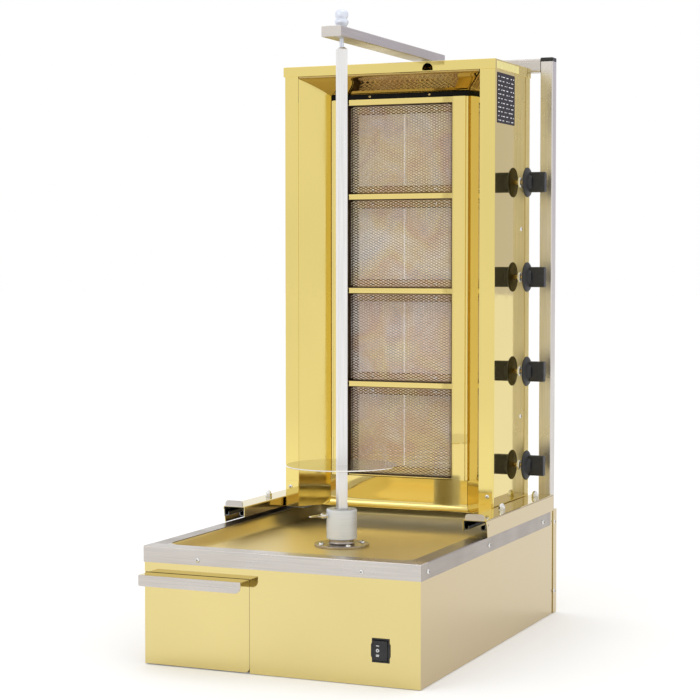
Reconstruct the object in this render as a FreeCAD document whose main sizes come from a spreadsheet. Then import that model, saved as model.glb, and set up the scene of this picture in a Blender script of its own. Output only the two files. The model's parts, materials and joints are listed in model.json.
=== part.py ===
import FreeCAD, Part
import os
import re
import math
import Sketcher

# Vertical rotisserie broiler, four gas burners.  Millimetres, +Z up, +X right, -Y front.
# The origin is the centre of the base's underside.

DIMENSIONS = {
    # sheet metal and clearances
    "gauge": 1.2, "gap": 0.3,
    # base box
    "base_width": 482, "front_y": -349, "back_y": 349, "floor_gauge": 1.5,
    "rim_top": 194, "rim_skirt": 26.5, "rim_overhang": 1.5, "rim_rear_y": 312,
    "cover_front_y": 331, "cover_top": 194,
    "pan_half": 215, "pan_front_y": -322, "pan_rear_y": 304, "pan_floor": 173,
    "pan_slope": 20, "pan_corner": 22,
    # drawer
    "drawer_right_x": -50, "drawer_top": 151, "drawer_bottom": 1, "handle_reach": 32,
    "handle_drop": 18, "handle_inset": 6, "tray_length": 440, "tray_height": 118,
    "tray_floor": 8, "tray_inset": 8,
    # drive
    "spit_y": -98.5, "shaft_radius": 12.5, "shaft_bottom": 92, "shaft_top": 205,
    "hub_radius": 46.5, "hub_flange": 4, "hub_neck_radius": 21, "hub_top": 184.5,
    "hub_screw_circle": 36.5, "bearing_radius": 30, "bearing_height": 22,
    "gearbox_bottom": 60, "gearbox_top": 130, "gearbox_half": 38, "motor_radius": 34,
    "motor_length": 105,
    # collar, bar, disc and top knob
    "collar_radius": 26, "collar_bottom": 185, "collar_top": 236.5, "bar_size": 16,
    "bar_top": 1015, "bar_taper": 5, "bar_angle": 40.7, "disc_radius": 94.5, "disc_bottom": 309,
    "disc_gauge": 2, "wing_height": 225, "wing_reach": 32, "screw_radius": 4,
    "pin_radius": 3.5, "pin_bottom": 992, "knob_bottom": 1046.3, "knob_top": 1077.6,
    "turned_radius": 12,
    # switch
    "switch_x": 175, "switch_z": 56, "switch_half_width": 16, "switch_half_height": 19,
    "rocker_half_width": 12, "rocker_half_height": 15.5,
    # rails
    "rail_outer": 246, "rail_inner": 204, "rail_top": 223.5, "rail_gauge": 1.5,
    "rail_lip": 204, "rail_front_y": -59, "rail_rear_y": 319, "stop_height": 10, "stop_half": 17,
    "front_nut_y": 82, "rear_nut_y": 271, "nut_height": 12,
    # mast
    "post_size": 24, "post_front_y": 321, "post_bottom": 60, "post_top": 1022.5,
    "post_cap_top": 1030, "bar_height": 25, "arm_bottom": 1028, "arm_height": 18,
    "arm_half": 18, "arm_front_y": -142, "arm_rear_y": 350, "tube_wall": 2,
    # tower
    "tower_half": 202, "tower_front_y": 104, "tower_rear_y": 302, "tower_bottom": 206,
    "tower_top": 1008, "cap_lip": 17.5, "cap_overhang": 1.5, "notch_x": 77, "notch_radius": 9.7, "notch_drop": 13, "flange_inner": 174.5,
    "throat_half": 133.4, "throat_y": 160, "shoe_outer": 226, "shoe_inner": 190,
    # burners
    "burner_pitch": 171.3, "burner_first": 345, "screen_half": 101, "screen_half_height": 80,
    "screen_y": 171, "tile_y": 190, "tile_width": 92, "tile_height": 132, "tile_depth": 13,
    "casing_half": 103, "casing_half_height": 83, "casing_rear_y": 232, "mixer_radius": 11,
    "tap_y": 248, "tap_drop": 60.5, "knob_disc_radius": 27, "knob_face": 214, "knob_reach": 250,
    "stem_radius": 4,
    # fasteners
    "screw_head": 8, "screw_dome": 2.4, "screw_length": 2.6, "screw_shank": 2,
}
BURNER_COUNT = 4

doc = FreeCAD.newDocument("vertical_broiler")
sheet = doc.addObject("Spreadsheet::Sheet", "dims")
for row, (alias, amount) in enumerate(DIMENSIONS.items(), 1):
    sheet.set("A%d" % row, alias)
    sheet.set("B%d" % row, str(amount))
    sheet.setAlias("B%d" % row, alias)
doc.recompute()

sub_parts = []
FRONT, BACK = FreeCAD.Vector(0, -1, 0), FreeCAD.Vector(0, 1, 0)
LEFT, RIGHT = FreeCAD.Vector(-1, 0, 0), FreeCAD.Vector(1, 0, 0)
UP = FreeCAD.Vector(0, 0, 1)


# ---------------------------------------------------------------- helpers
def formula(text):
    """Turn a formula written with bare dimension names into a FreeCAD expression."""
    def full_name(found):
        word = found.group()
        return "dims." + word if word in DIMENSIONS else word
    return re.sub(r"[a-z_]+", full_name, str(text))


def bind(thing, prop, text):
    thing.setExpression(prop, formula(text))


def place(thing, x=0, y=0, z=0, direction=UP):
    """Put a thing at x, y, z with its own Z axis along the direction."""
    thing.Placement = FreeCAD.Placement(FreeCAD.Vector(0, 0, 0), FreeCAD.Rotation(UP, direction))
    for axis, text in zip("xyz", (x, y, z)):
        bind(thing, "Placement.Base." + axis, text)
    return thing


def named(label, thing):
    """Make a thing one of the object's sub-parts."""
    thing.Label = label
    sub_parts.append(thing)
    return thing


def box(x, y, z):
    """A block between the low and high formula of each axis."""
    block = doc.addObject("Part::Box", "block")
    for prop, (low, high) in zip(("Length", "Width", "Height"), (x, y, z)):
        bind(block, prop, "(%s) - (%s)" % (high, low))
    return place(block, x[0], y[0], z[0])


def rod(radius, length, x=0, y=0, z=0, direction=UP):
    """A round rod that starts at x, y, z and runs along the direction."""
    cylinder = doc.addObject("Part::Cylinder", "rod")
    bind(cylinder, "Radius", radius)
    bind(cylinder, "Height", length)
    return place(cylinder, x, y, z, direction)


def group(*pieces):
    """Separate solids that share one node."""
    gathered = doc.addObject("Part::Compound", "group")
    gathered.Links = list(pieces)
    return gathered


def cut(base, *tools):
    removal = doc.addObject("Part::Cut", "cut")
    removal.Base = base
    removal.Tool = tools[0] if len(tools) == 1 else group(*tools)
    return removal


def fuse(*pieces):
    union = doc.addObject("Part::MultiFuse", "fuse")
    union.Shapes = list(pieces)
    union.Refine = True
    return union


def common(first, second):
    overlap = doc.addObject("Part::MultiCommon", "common")
    overlap.Shapes = [first, second]
    return overlap


def outline(body, plane, points):
    """A closed sketch whose corners are tied to formulas, on one of the body's planes."""
    sketch = body.newObject("Sketcher::SketchObject", body.Name + "_outline")
    origin_plane = [item for item in body.Origin.OriginFeatures if item.Role == plane][0]
    sketch.AttachmentSupport = [(origin_plane, "")]
    sketch.MapMode = "FlatFace"
    count = len(points)
    start = [FreeCAD.Vector(100 * math.cos(2 * math.pi * i / count),
                            100 * math.sin(2 * math.pi * i / count), 0) for i in range(count)]
    for i in range(count):
        sketch.addGeometry(Part.LineSegment(start[i], start[(i + 1) % count]), False)
    for i in range(count):
        sketch.addConstraint(Sketcher.Constraint("Coincident", i, 2, (i + 1) % count, 1))
    for i, (across, along) in enumerate(points):
        for kind, first_value, text in (("DistanceX", start[i].x, across), ("DistanceY", start[i].y, along)):
            index = sketch.addConstraint(Sketcher.Constraint(kind, -1, 1, i, 1, first_value))
            bind(sketch, "Constraints[%d]" % index, text)
    return sketch


def pad(plane, points, low, high):
    """An outline padded from low to high along the plane's axis (XY: Z, YZ: X, XZ: Y)."""
    body = doc.addObject("PartDesign::Body", "body")
    sketch = outline(body, plane + "_Plane", points)
    feature = body.newObject("PartDesign::Pad", body.Name + "_pad")
    feature.Profile = sketch
    bind(feature, "Length", "(%s) - (%s)" % (high, low))
    faces_front = plane == "XZ"
    feature.Reversed = faces_front
    bind(sketch, "AttachmentOffset.Base.z", ("-(%s)" if faces_front else "%s") % low)
    return body


def turned(points):
    """An outline of radius and height pairs turned about the Z axis."""
    body = doc.addObject("PartDesign::Body", "body")
    sketch = outline(body, "XZ_Plane", points)
    feature = body.newObject("PartDesign::Revolution", body.Name + "_turn")
    feature.Profile = sketch
    feature.ReferenceAxis = (sketch, ["V_Axis"])
    feature.Angle = 360
    return body


def screw(x, y, z, direction, head="screw_head", length="screw_length"):
    """A domed screw whose head sits on the surface at x, y, z and faces the direction."""
    dome = doc.addObject("Part::Cone", "dome")
    bind(dome, "Radius1", "%s / 2" % head)
    bind(dome, "Radius2", "%s / 3.2" % head)
    bind(dome, "Height", "screw_dome")
    return place(fuse(dome, rod("screw_shank", length, 0, 0, "-%s" % length)), x, y, z, direction)


def screw_hole(x, y, z, direction):
    """A hole with a little room round a screw's shank, right through the sheets it joins."""
    return place(rod("screw_shank + 0.1", "24"), "(%s) - 12 * (%g)" % (x, direction.x),
                 "(%s) - 12 * (%g)" % (y, direction.y), "(%s) - 12 * (%g)" % (z, direction.z), direction)


def mirrored_sides():
    """The left and right side: a name, the sign of X and the outward direction."""
    return (("left", "-1", LEFT), ("right", "1", RIGHT))


# ---------------------------------------------------------------- base
HALF = "base_width / 2"
SIDE_SCREWS_Y = ("-322", "-34", "265")
FRONT_SCREWS_X = ("-143", "143")
COVER_SCREWS_Z = ("171", "41")


def base_screw_places():
    """Where the base's screws sit: x, y, z and outward direction."""
    rim_side = "%s + rim_overhang" % HALF
    for x in FRONT_SCREWS_X:
        yield x, "front_y - rim_overhang", "rim_top - 18", FRONT
    for _, sign, outward in mirrored_sides():
        for y in SIDE_SCREWS_Y:
            yield "%s * (%s)" % (sign, rim_side), y, "rim_top - 15", outward
        for z in COVER_SCREWS_Z:
            yield "%s * (%s)" % (sign, rim_side), "cover_front_y + 5", z, outward


def base_screw_holes():
    return [screw_hole(*spot) for spot in base_screw_places()]


def switch_hole(grow):
    reach_x = "switch_half_width - %s" % grow
    reach_z = "switch_half_height - %s" % grow
    return box(("switch_x - (%s)" % reach_x, "switch_x + (%s)" % reach_x), ("front_y - 5", "front_y + 5"),
               ("switch_z - (%s)" % reach_z, "switch_z + (%s)" % reach_z))


def base_shell():
    """Front sheet and both sides bent from one piece, open over the drawer and at the back."""
    outer = box(("-" + HALF, HALF), ("front_y", "back_y - 2"), ("0", "rim_top - gauge - gap"))
    hollow = box(("-%s + gauge" % HALF, "%s - gauge" % HALF), ("front_y + gauge", "back_y + 9"), ("-1", "rim_top"))
    doorway = box(("-%s - 1" % HALF, "drawer_right_x - 0.7"), ("front_y - 1", "front_y + gauge + gap"),
                  ("-1", "drawer_top + 0.5"))
    named("base_shell", cut(outer, hollow, doorway, switch_hole("2"), *base_screw_holes()))


def base_floor():
    sheet_part = box(("-%s + gauge" % HALF, "%s - gauge" % HALF), ("front_y + 2 * gauge", "back_y - 3"),
                     ("0", "floor_gauge"))
    named("base_floor", sheet_part)


def rear_cover():
    """Shallow tray that closes the back, with a top that the post passes through."""
    wide = "%s + rim_overhang" % HALF
    outer = box(("-(%s)" % wide, wide), ("rim_rear_y + 1", "back_y + rim_overhang"), ("0", "cover_top"))
    hollow = box(("-(%s) + gauge" % wide, "%s - gauge" % wide), ("rim_rear_y", "back_y + rim_overhang - gauge"),
                 ("-1", "cover_top - gauge"))
    side_cut = box(("-(%s) - 1" % wide, "%s + 1" % wide), ("rim_rear_y", "cover_front_y"),
                   ("-1", "cover_top - gauge"))
    post_hole = post_block("gap", "100", "cover_top + 1")
    named("rear_cover", cut(outer, hollow, side_cut, post_hole, *base_screw_holes()))


def post_block(grow, low, high):
    """The square post's outline, grown all round, between two heights."""
    right = "%s - gauge - 0.1 + %s" % (HALF, grow)
    left = "%s - gauge - 0.1 - post_size - %s" % (HALF, grow)
    return box((left, right), ("post_front_y - %s" % grow, "post_front_y + post_size + %s" % grow), (low, high))


def rounded_block(x, y, z, radius):
    """A block whose four upright edges are rounded."""
    block = box(x, y, z)
    doc.recompute()
    upright = []
    for index, edge in enumerate(block.Shape.Edges, 1):
        first, last = edge.Vertexes[0].Point, edge.Vertexes[-1].Point
        if abs(first.z - last.z) > 1e-6:
            upright.append((index, radius, radius))
    fillet = doc.addObject("Part::Fillet", "rounded")
    fillet.Base = block
    fillet.Edges = upright
    return fillet


def rim():
    """Brushed steel frame round the top of the base: a skirt, and a flange round the pan."""
    wide = "%s + rim_overhang" % HALF
    outer = box(("-(%s)" % wide, wide), ("front_y - rim_overhang", "rim_rear_y"), ("rim_top - rim_skirt", "rim_top"))
    hollow = box(("-(%s) + gauge" % wide, "%s - gauge" % wide), ("front_y - rim_overhang + gauge", "rim_rear_y + 1"),
                 ("0", "rim_top - gauge"))
    opening = rounded_block(("-pan_half", "pan_half"), ("pan_front_y", "pan_rear_y"), ("100", "rim_top + 1"),
                            DIMENSIONS["pan_corner"])
    named("rim", cut(outer, hollow, opening, *base_screw_holes()))


def pan_block(grow, low, high, widen):
    """A block with sloping sides between two heights: the shape of the pan's hollow."""
    wedge = doc.addObject("Part::Wedge", "pan_block")
    mid_y = "(pan_front_y + pan_rear_y) / 2"
    half_y = "(pan_rear_y - pan_front_y) / 2"
    slope = "(pan_slope - %s)" % widen
    for prop, text in (("Xmin", "-(pan_half + %s - %s)" % (grow, slope)), ("Xmax", "pan_half + %s - %s" % (grow, slope)),
                       ("Zmin", "-(%s + %s - %s)" % (half_y, grow, slope)), ("Zmax", "%s + %s - %s" % (half_y, grow, slope)),
                       ("X2min", "-(pan_half + %s)" % grow), ("X2max", "pan_half + %s" % grow),
                       ("Z2min", "-(%s + %s)" % (half_y, grow)), ("Z2max", "%s + %s" % (half_y, grow)),
                       ("Ymin", low), ("Ymax", high)):
        bind(wedge, prop, text)
    wedge.Placement = FreeCAD.Placement(FreeCAD.Vector(0, 0, 0), FreeCAD.Rotation(FreeCAD.Vector(1, 0, 0), 90))
    bind(wedge, "Placement.Base.y", mid_y)
    return wedge


def drip_pan():
    """Sunk pan with sloping sides and a lip that hangs under the rim."""
    top = "rim_top - gauge - 0.1"
    outer = pan_block("gauge", "pan_floor - gauge", top, "0")
    hollow = pan_block("0", "pan_floor", "%s + 0.01" % top, "0")
    lip = box(("-pan_half - 14", "pan_half + 14"), ("pan_front_y - 14", "pan_rear_y + 6"), ("(%s) - gauge" % top, top))
    lip_opening = pan_block("0", "pan_floor", "%s + 0.01" % top, "0")
    shaft_hole = rod("shaft_radius + 1.5", "40", "0", "spit_y", "pan_floor - 20")
    lip_ring = cut(lip, lip_opening)
    named("drip_pan", cut(fuse(cut(outer, hollow), lip_ring), shaft_hole, *hub_screw_holes()))


def hub_spots():
    """The four screw places round the hub, as x and y formulas."""
    for quarter in range(4):
        angle = "(bar_angle + %d)" % (90 * quarter)
        yield "hub_screw_circle * cos(%s)" % angle, "spit_y + hub_screw_circle * sin(%s)" % angle


def hub_screw_holes():
    return [screw_hole(x, y, "pan_floor", UP) for x, y in hub_spots()]


def base_fasteners():
    sheet_screws = [screw(*spot) for spot in base_screw_places()]
    hub_screws = [screw(x, y, "pan_floor + hub_flange", UP, length="(hub_flange + 4)") for x, y in hub_spots()]
    named("base_screws", group(*sheet_screws, *hub_screws))


# ---------------------------------------------------------------- drawer
def drawer():
    left, right = "-%s" % HALF, "drawer_right_x - 1.2"
    lip_y = "front_y - handle_reach"
    plate = box((left, right), ("front_y", "front_y + gauge"), ("drawer_bottom", "drawer_top"))
    handle = pad("YZ", (("front_y + gauge / 2", "drawer_top"), (lip_y, "drawer_top"),
                        (lip_y, "drawer_top - handle_drop"), ("%s + gauge" % lip_y, "drawer_top - handle_drop"),
                        ("%s + gauge" % lip_y, "drawer_top - gauge"), ("front_y + gauge / 2", "drawer_top - gauge")),
                 "%s + handle_inset" % left, right)
    named("drawer_front", fuse(plate, handle))
    x = ("-%s + tray_inset" % HALF, "drawer_right_x - tray_inset")
    y = ("front_y + gauge", "front_y + gauge + tray_length")
    z = ("tray_floor", "tray_floor + tray_height")
    inner = [("(%s) + gauge" % low, "(%s) - gauge" % high) for low, high in (x, y)]
    named("drawer_tray", cut(box(x, y, z), box(inner[0], inner[1], ("tray_floor + gauge", "tray_floor + 200"))))


def drawer_guides():
    """Two angles on the floor that carry the tray's edges."""
    for name, web, ledge in (("left", ("-%s + gauge" % HALF, "-%s + 2 * gauge" % HALF),
                              ("-%s + 2 * gauge" % HALF, "-%s + 18" % HALF)),
                             ("right", ("drawer_right_x - 2 * gauge", "drawer_right_x - gauge"),
                              ("drawer_right_x - 18", "drawer_right_x - 2 * gauge"))):
        run = ("front_y + 6", "front_y + tray_length + 40")
        angle = fuse(box(web, run, ("floor_gauge", "60")), box(ledge, run, ("tray_floor - gauge - gap", "tray_floor - gap")))
        named("drawer_guide_" + name, angle)


# ---------------------------------------------------------------- drive
def drive():
    ledge = "gearbox_half + 6"
    bracket = pad("XZ", (("-(%s) - 6" % ledge, "floor_gauge"), ("-(%s) + 3" % ledge, "floor_gauge"),
                         ("-(%s) + 3" % ledge, "gearbox_bottom - 3"), ("%s - 3" % ledge, "gearbox_bottom - 3"),
                         ("%s - 3" % ledge, "floor_gauge"), ("%s + 6" % ledge, "floor_gauge"),
                         ("%s + 6" % ledge, "floor_gauge + 3"), (ledge, "floor_gauge + 3"),
                         (ledge, "gearbox_bottom"), ("-(%s)" % ledge, "gearbox_bottom"),
                         ("-(%s)" % ledge, "floor_gauge + 3"), ("-(%s) - 6" % ledge, "floor_gauge + 3")),
                  "spit_y - gearbox_half", "spit_y + gearbox_half")
    named("motor_bracket", bracket)
    casing = box(("-gearbox_half", "gearbox_half"), ("spit_y - gearbox_half", "spit_y + gearbox_half"),
                 ("gearbox_bottom", "gearbox_top"))
    named("gearbox", cut(casing, rod("shaft_radius + 0.05", "60", "0", "spit_y", "shaft_bottom - 1")))
    axis_z = "(gearbox_bottom + gearbox_top) / 2"
    body = rod("motor_radius", "motor_length", "gearbox_half", "spit_y", axis_z, RIGHT)
    fan_cap = rod("motor_radius - 4", "18", "gearbox_half + motor_length", "spit_y", axis_z, RIGHT)
    named("motor", fuse(body, fan_cap))
    named("drive_shaft", rod("shaft_radius", "shaft_top - shaft_bottom", "0", "spit_y", "shaft_bottom"))
    top = "pan_floor - gauge"
    bearing = cut(rod("bearing_radius", "bearing_height", "0", "spit_y", "%s - bearing_height" % top),
                  rod("shaft_radius + 0.05", "60", "0", "spit_y", "%s - 40" % top))
    named("spit_bearing", bearing)
    hub = turned((("shaft_radius + 1", "0"), ("hub_radius", "0"), ("hub_radius", "hub_flange"),
                  ("hub_neck_radius + 4", "hub_flange"), ("hub_neck_radius", "hub_flange + 3"),
                  ("hub_neck_radius", "hub_top - pan_floor"), ("shaft_radius + 1", "hub_top - pan_floor")))
    named("hub_flange", cut(place(hub, "0", "spit_y", "pan_floor"), *hub_screw_holes()))


def switch():
    """Rocker switch: a framed housing in the front sheet, and the rocker in it."""
    frame_block = box(("switch_x - switch_half_width", "switch_x + switch_half_width"), ("front_y - 2", "front_y"),
                      ("switch_z - switch_half_height", "switch_z + switch_half_height"))
    body = box(("switch_x - switch_half_width + 2.2", "switch_x + switch_half_width - 2.2"), ("front_y", "front_y + 26"),
               ("switch_z - switch_half_height + 2.2", "switch_z + switch_half_height - 2.2"))
    well = box(("switch_x - rocker_half_width - 0.4", "switch_x + rocker_half_width + 0.4"),
               ("front_y - 3", "front_y + 9"),
               ("switch_z - rocker_half_height - 1.1", "switch_z + rocker_half_height + 1.1"))
    named("switch_housing", cut(fuse(frame_block, body), well))
    rocker = pad("YZ", (("front_y + 5", "switch_z - rocker_half_height + 2"),
                        ("front_y - 3.6", "switch_z - rocker_half_height"), ("front_y - 2.2", "switch_z"),
                        ("front_y - 3.6", "switch_z + rocker_half_height"),
                        ("front_y + 5", "switch_z + rocker_half_height - 2")),
                 "switch_x - rocker_half_width", "switch_x + rocker_half_width")
    named("switch_rocker", rocker)


# ---------------------------------------------------------------- rails and mast
def rails():
    """C-tracks along both sides of the rim: the lips turn inwards under the tower's shoes."""
    stops, nuts = [], []
    for name, sign, _ in mirrored_sides():
        section = (("rail_outer", "rim_top"), ("rail_outer", "rail_top"), ("rail_inner", "rail_top"),
                   ("rail_inner", "rail_lip"), ("rail_inner + 8", "rail_lip"), ("rail_inner + 8", "rail_lip + 4"),
                   ("rail_inner + 8 - rail_gauge", "rail_lip + 4"),
                   ("rail_inner + 8 - rail_gauge", "rail_lip + rail_gauge"),
                   ("rail_inner + rail_gauge", "rail_lip + rail_gauge"),
                   ("rail_inner + rail_gauge", "rail_top - rail_gauge"),
                   ("rail_outer - rail_gauge", "rail_top - rail_gauge"),
                   ("rail_outer - rail_gauge", "rim_top + rail_gauge"), ("rail_outer - 12", "rim_top + rail_gauge"),
                   ("rail_outer - 12", "rim_top"))
        track = pad("XZ", tuple(("%s * (%s)" % (sign, x), z) for x, z in section), "rail_front_y", "rail_rear_y")
        mid_x = "%s * (rail_outer + rail_inner) / 2" % sign
        named("rail_" + name, track)
        stops.append(box(("%s - stop_half" % mid_x, "%s + stop_half" % mid_x), ("rail_front_y", "rail_front_y + rail_gauge"),
                         ("rail_top", "rail_top + stop_height")))
        for y in ("front_nut_y", "rear_nut_y"):
            hexagon = rod("6.5", "nut_height - 6", mid_x, y, "rail_top")
            dome = doc.addObject("Part::Cone", "dome")
            bind(dome, "Radius1", "5")
            bind(dome, "Radius2", "2")
            bind(dome, "Height", "6")
            place(dome, mid_x, y, "rail_top + nut_height - 6")
            nuts.append(fuse(hexagon, dome))
    named("rail_stops", group(*stops))
    named("rail_nuts", group(*nuts))


def mast():
    inner = "-tube_wall"
    named("post", cut(post_block("0", "post_bottom", "post_top"), post_block(inner, "post_bottom - 1", "post_top + 1")))
    named("post_cap", post_block("0", "post_top", "post_cap_top"))
    reach = ("-arm_half", "%s - gauge - 0.1 - post_size" % HALF)
    depth = ("post_front_y", "post_front_y + post_size")
    height = ("arm_bottom - bar_height", "arm_bottom")
    hollow = box(("-arm_half - 1", "%s + 1" % reach[1]), tuple("(%s) %s tube_wall" % pair for pair in zip(depth, "+-")),
                 tuple("(%s) %s tube_wall" % pair for pair in zip(height, "+-")))
    named("rear_crossbar", cut(box(reach, depth, height), hollow))
    width, run = ("-arm_half", "arm_half"), ("arm_front_y", "arm_rear_y")
    tall = ("arm_bottom", "arm_bottom + arm_height")
    arm_hollow = box(tuple("(%s) %s tube_wall" % pair for pair in zip(width, "+-")),
                     ("arm_front_y + tube_wall", "arm_rear_y - tube_wall"),
                     tuple("(%s) %s tube_wall" % pair for pair in zip(tall, "+-")))
    pin_hole = rod("pin_radius + 0.09", "60", "0", "spit_y", "arm_bottom - 20")
    named("top_arm", cut(box(width, run, tall), arm_hollow, pin_hole))


# ---------------------------------------------------------------- spit
def spin_bar(half, low, high):
    """A square bar round the spit's axis, turned to its resting angle."""
    bar = pad("XY", (("-(%s)" % half, "-(%s)" % half), (half, "-(%s)" % half), (half, half), ("-(%s)" % half, half)),
              low, high)
    bind(bar, "Placement.Base.y", "spit_y")
    bind(bar, "Placement.Rotation.Angle", "bar_angle")
    return bar


def spit():
    bar = spin_bar("bar_size / 2", "shaft_top + 0.5", "bar_top - bar_taper")
    cone = doc.addObject("Part::Cone", "bar_tip")
    bind(cone, "Radius1", "bar_size / 2")
    bind(cone, "Radius2", "bar_size / 2 - 2.5")
    bind(cone, "Height", "bar_taper")
    place(cone, "0", "spit_y", "bar_top - bar_taper")
    pin_socket = rod("pin_radius + 0.06", "60", "0", "spit_y", "pin_bottom - 2")
    named("spit_bar", cut(fuse(bar, cone), pin_socket))
    disc = cut(rod("disc_radius", "disc_gauge", "0", "spit_y", "disc_bottom"),
               spin_bar("bar_size / 2", "disc_bottom - 5", "disc_bottom + 9"))
    named("meat_disc", disc)
    edge = "2"
    collar = turned((("0", "0"), ("collar_radius", "0"), ("collar_radius", "collar_top - collar_bottom - %s" % edge),
                     ("collar_radius - %s" % edge, "collar_top - collar_bottom"), ("0", "collar_top - collar_bottom")))
    place(collar, "0", "spit_y", "collar_bottom")
    named("drive_collar", cut(collar, rod("shaft_radius", "shaft_top - collar_bottom + 1", "0", "spit_y", "collar_bottom - 1"),
                              spin_bar("bar_size / 2 + 0.1", "shaft_top - 0.5", "collar_top + 1"), wing_rod("0.06")))
    wing_screw()
    top_knob()


def wing_direction():
    angle = math.radians(DIMENSIONS["bar_angle"] + 180)
    return FreeCAD.Vector(math.cos(angle), math.sin(angle), 0)


def wing_rod(grow):
    """The wing screw's shank, from just off the bar to just outside the collar."""
    way = wing_direction()
    start = "(bar_size / 2 + 0.3)"
    return rod("screw_radius + %s" % grow, "collar_radius + 8 - %s" % start, "%g * %s" % (way.x, start),
               "spit_y + %g * %s" % (way.y, start), "wing_height", way)


def wing_screw():
    """Hand screw that clamps the bar: a shank, a neck and a flat wing."""
    way = wing_direction()

    def along(distance):
        return "%g * (%s)" % (way.x, distance), "spit_y + %g * (%s)" % (way.y, distance)
    neck_x, neck_y = along("collar_radius + 1")
    neck = rod("screw_radius + 1.5", "12", neck_x, neck_y, "wing_height", way)
    wing = box(("0", "wing_reach - 12"), ("-2", "2"), ("-6", "6"))
    wing.Placement = FreeCAD.Placement(FreeCAD.Vector(0, 0, 0),
                                       FreeCAD.Rotation(UP, DIMENSIONS["bar_angle"] + 180))
    wing_x, wing_y = along("collar_radius + 12")
    offset = ("%g * 2" % way.y, "-(%g) * 2" % way.x)
    bind(wing, "Placement.Base.x", "%s + %s" % (wing_x, offset[0]))
    bind(wing, "Placement.Base.y", "%s + %s" % (wing_y, offset[1]))
    bind(wing, "Placement.Base.z", "wing_height - 6")
    named("wing_screw", fuse(wing_rod("0"), neck, wing))


def top_knob():
    """Turned knob with the pin that steadies the bar's top."""
    length = "knob_top - knob_bottom"
    profile = (("0", "pin_bottom - knob_bottom"), ("pin_radius", "pin_bottom - knob_bottom"), ("pin_radius", "0"),
               ("turned_radius * 0.62", "0"), ("turned_radius", "(%s) * 0.25" % length),
               ("turned_radius * 0.95", "(%s) * 0.4" % length), ("turned_radius * 0.7", "(%s) * 0.52" % length),
               ("turned_radius * 0.98", "(%s) * 0.68" % length), ("turned_radius * 0.9", "(%s) * 0.9" % length),
               ("turned_radius * 0.55", length), ("0", length))
    named("top_knob", place(turned(profile), "0", "spit_y", "knob_bottom"))


# ---------------------------------------------------------------- tower
WALL_Y = "tower_front_y + gauge"
INNER_TOP = "tower_top - cap_lip - 1"
TOWER_SKIN_TOP = "tower_top - gauge - 0.1"
SIDE_SCREW_SPOTS = (("253", "714"), ("253", "373"))


def tower_screw_places():
    for _, sign, outward in mirrored_sides():
        yield "%s * 190.7" % sign, "tower_front_y", "242", FRONT
        for y, z in SIDE_SCREW_SPOTS:
            yield "%s * tower_half" % sign, y, z, outward


def tower_holes():
    return [screw_hole(*spot) for spot in tower_screw_places()]


def tower_skins():
    """Side panels with front flanges, splayed inner walls, cap and rear cover."""
    for name, sign, outward in mirrored_sides():
        skin = (("tower_half", "tower_front_y"), ("tower_half", "tower_rear_y"),
                ("tower_half - gauge", "tower_rear_y"), ("tower_half - gauge", WALL_Y),
                ("flange_inner", WALL_Y), ("flange_inner", "tower_front_y"))
        panel = pad("XY", tuple(("%s * (%s)" % (sign, x), y) for x, y in skin), "tower_bottom", TOWER_SKIN_TOP)
        stems = [rod("stem_radius + 1", "20", "%s * (tower_half - 10)" % sign, "tap_y", tap_height(i), outward)
                 for i in range(BURNER_COUNT)] if name == "right" else []
        named("tower_side_" + name, cut(panel, *tower_holes(), *stems))
        wall = (("tower_half - 4", WALL_Y), ("flange_inner", WALL_Y), ("throat_half", "throat_y - 0.4"),
                ("throat_half + gauge", "throat_y - 0.4"), ("flange_inner + 0.9", "%s + gauge" % WALL_Y),
                ("tower_half - 4", "%s + gauge" % WALL_Y))
        inner = pad("XY", tuple(("%s * (%s)" % (sign, x), y) for x, y in wall), "tower_bottom", INNER_TOP)
        named("inner_wall_" + name, cut(inner, *tower_holes()))
    over = "cap_overhang"
    x = ("-(tower_half + %s)" % over, "tower_half + %s" % over)
    y = ("tower_front_y - %s" % over, "tower_rear_y + %s" % over)
    lid = box(x, y, ("tower_top - cap_lip", "tower_top"))
    under = box(tuple("(%s) %s gauge" % pair for pair in zip(x, "+-")),
                tuple("(%s) %s gauge" % pair for pair in zip(y, "+-")), ("0", "tower_top - gauge"))
    round_top = rod("notch_radius", "12", "notch_x", "tower_front_y - 8", "tower_top - notch_drop", BACK)
    straight = box(("notch_x - notch_radius", "notch_x + notch_radius"), ("tower_front_y - 8", "tower_front_y + 4"),
                   ("tower_top - notch_drop - 3", "tower_top - notch_drop"))
    below = box(("notch_x - 20", "notch_x + 20"), ("tower_front_y - 12", "tower_front_y + 12"),
                ("0", "tower_top - notch_drop"))
    named("tower_cap", cut(lid, under, cut(round_top, below), straight))
    back = box(("-tower_half + gauge", "tower_half - gauge"), ("tower_rear_y - gauge", "tower_rear_y"),
               ("tower_bottom", TOWER_SKIN_TOP))
    slots = []
    for row in range(14):
        for side in (-1, 1):
            centre = "%d * 62" % side
            height = "300 + %d * 46" % row
            slots.append(box(("%s - 40" % centre, "%s + 40" % centre), ("tower_rear_y - 9", "tower_rear_y + 9"),
                             (height, "%s + 6" % height)))
    inlet = rod("8.5", "20", "186", "tower_rear_y - 10", "270", BACK)
    named("tower_rear", cut(back, inlet, *slots))


def throat(low, high):
    """The wedge of space between the splayed walls."""
    near, far = "flange_inner - 1.2", "throat_half - 0.3"
    return pad("XY", (("-(%s)" % near, WALL_Y), (near, WALL_Y), (far, "throat_y - 0.4"),
                      ("-(%s)" % far, "throat_y - 0.4")), low, high)


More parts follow.
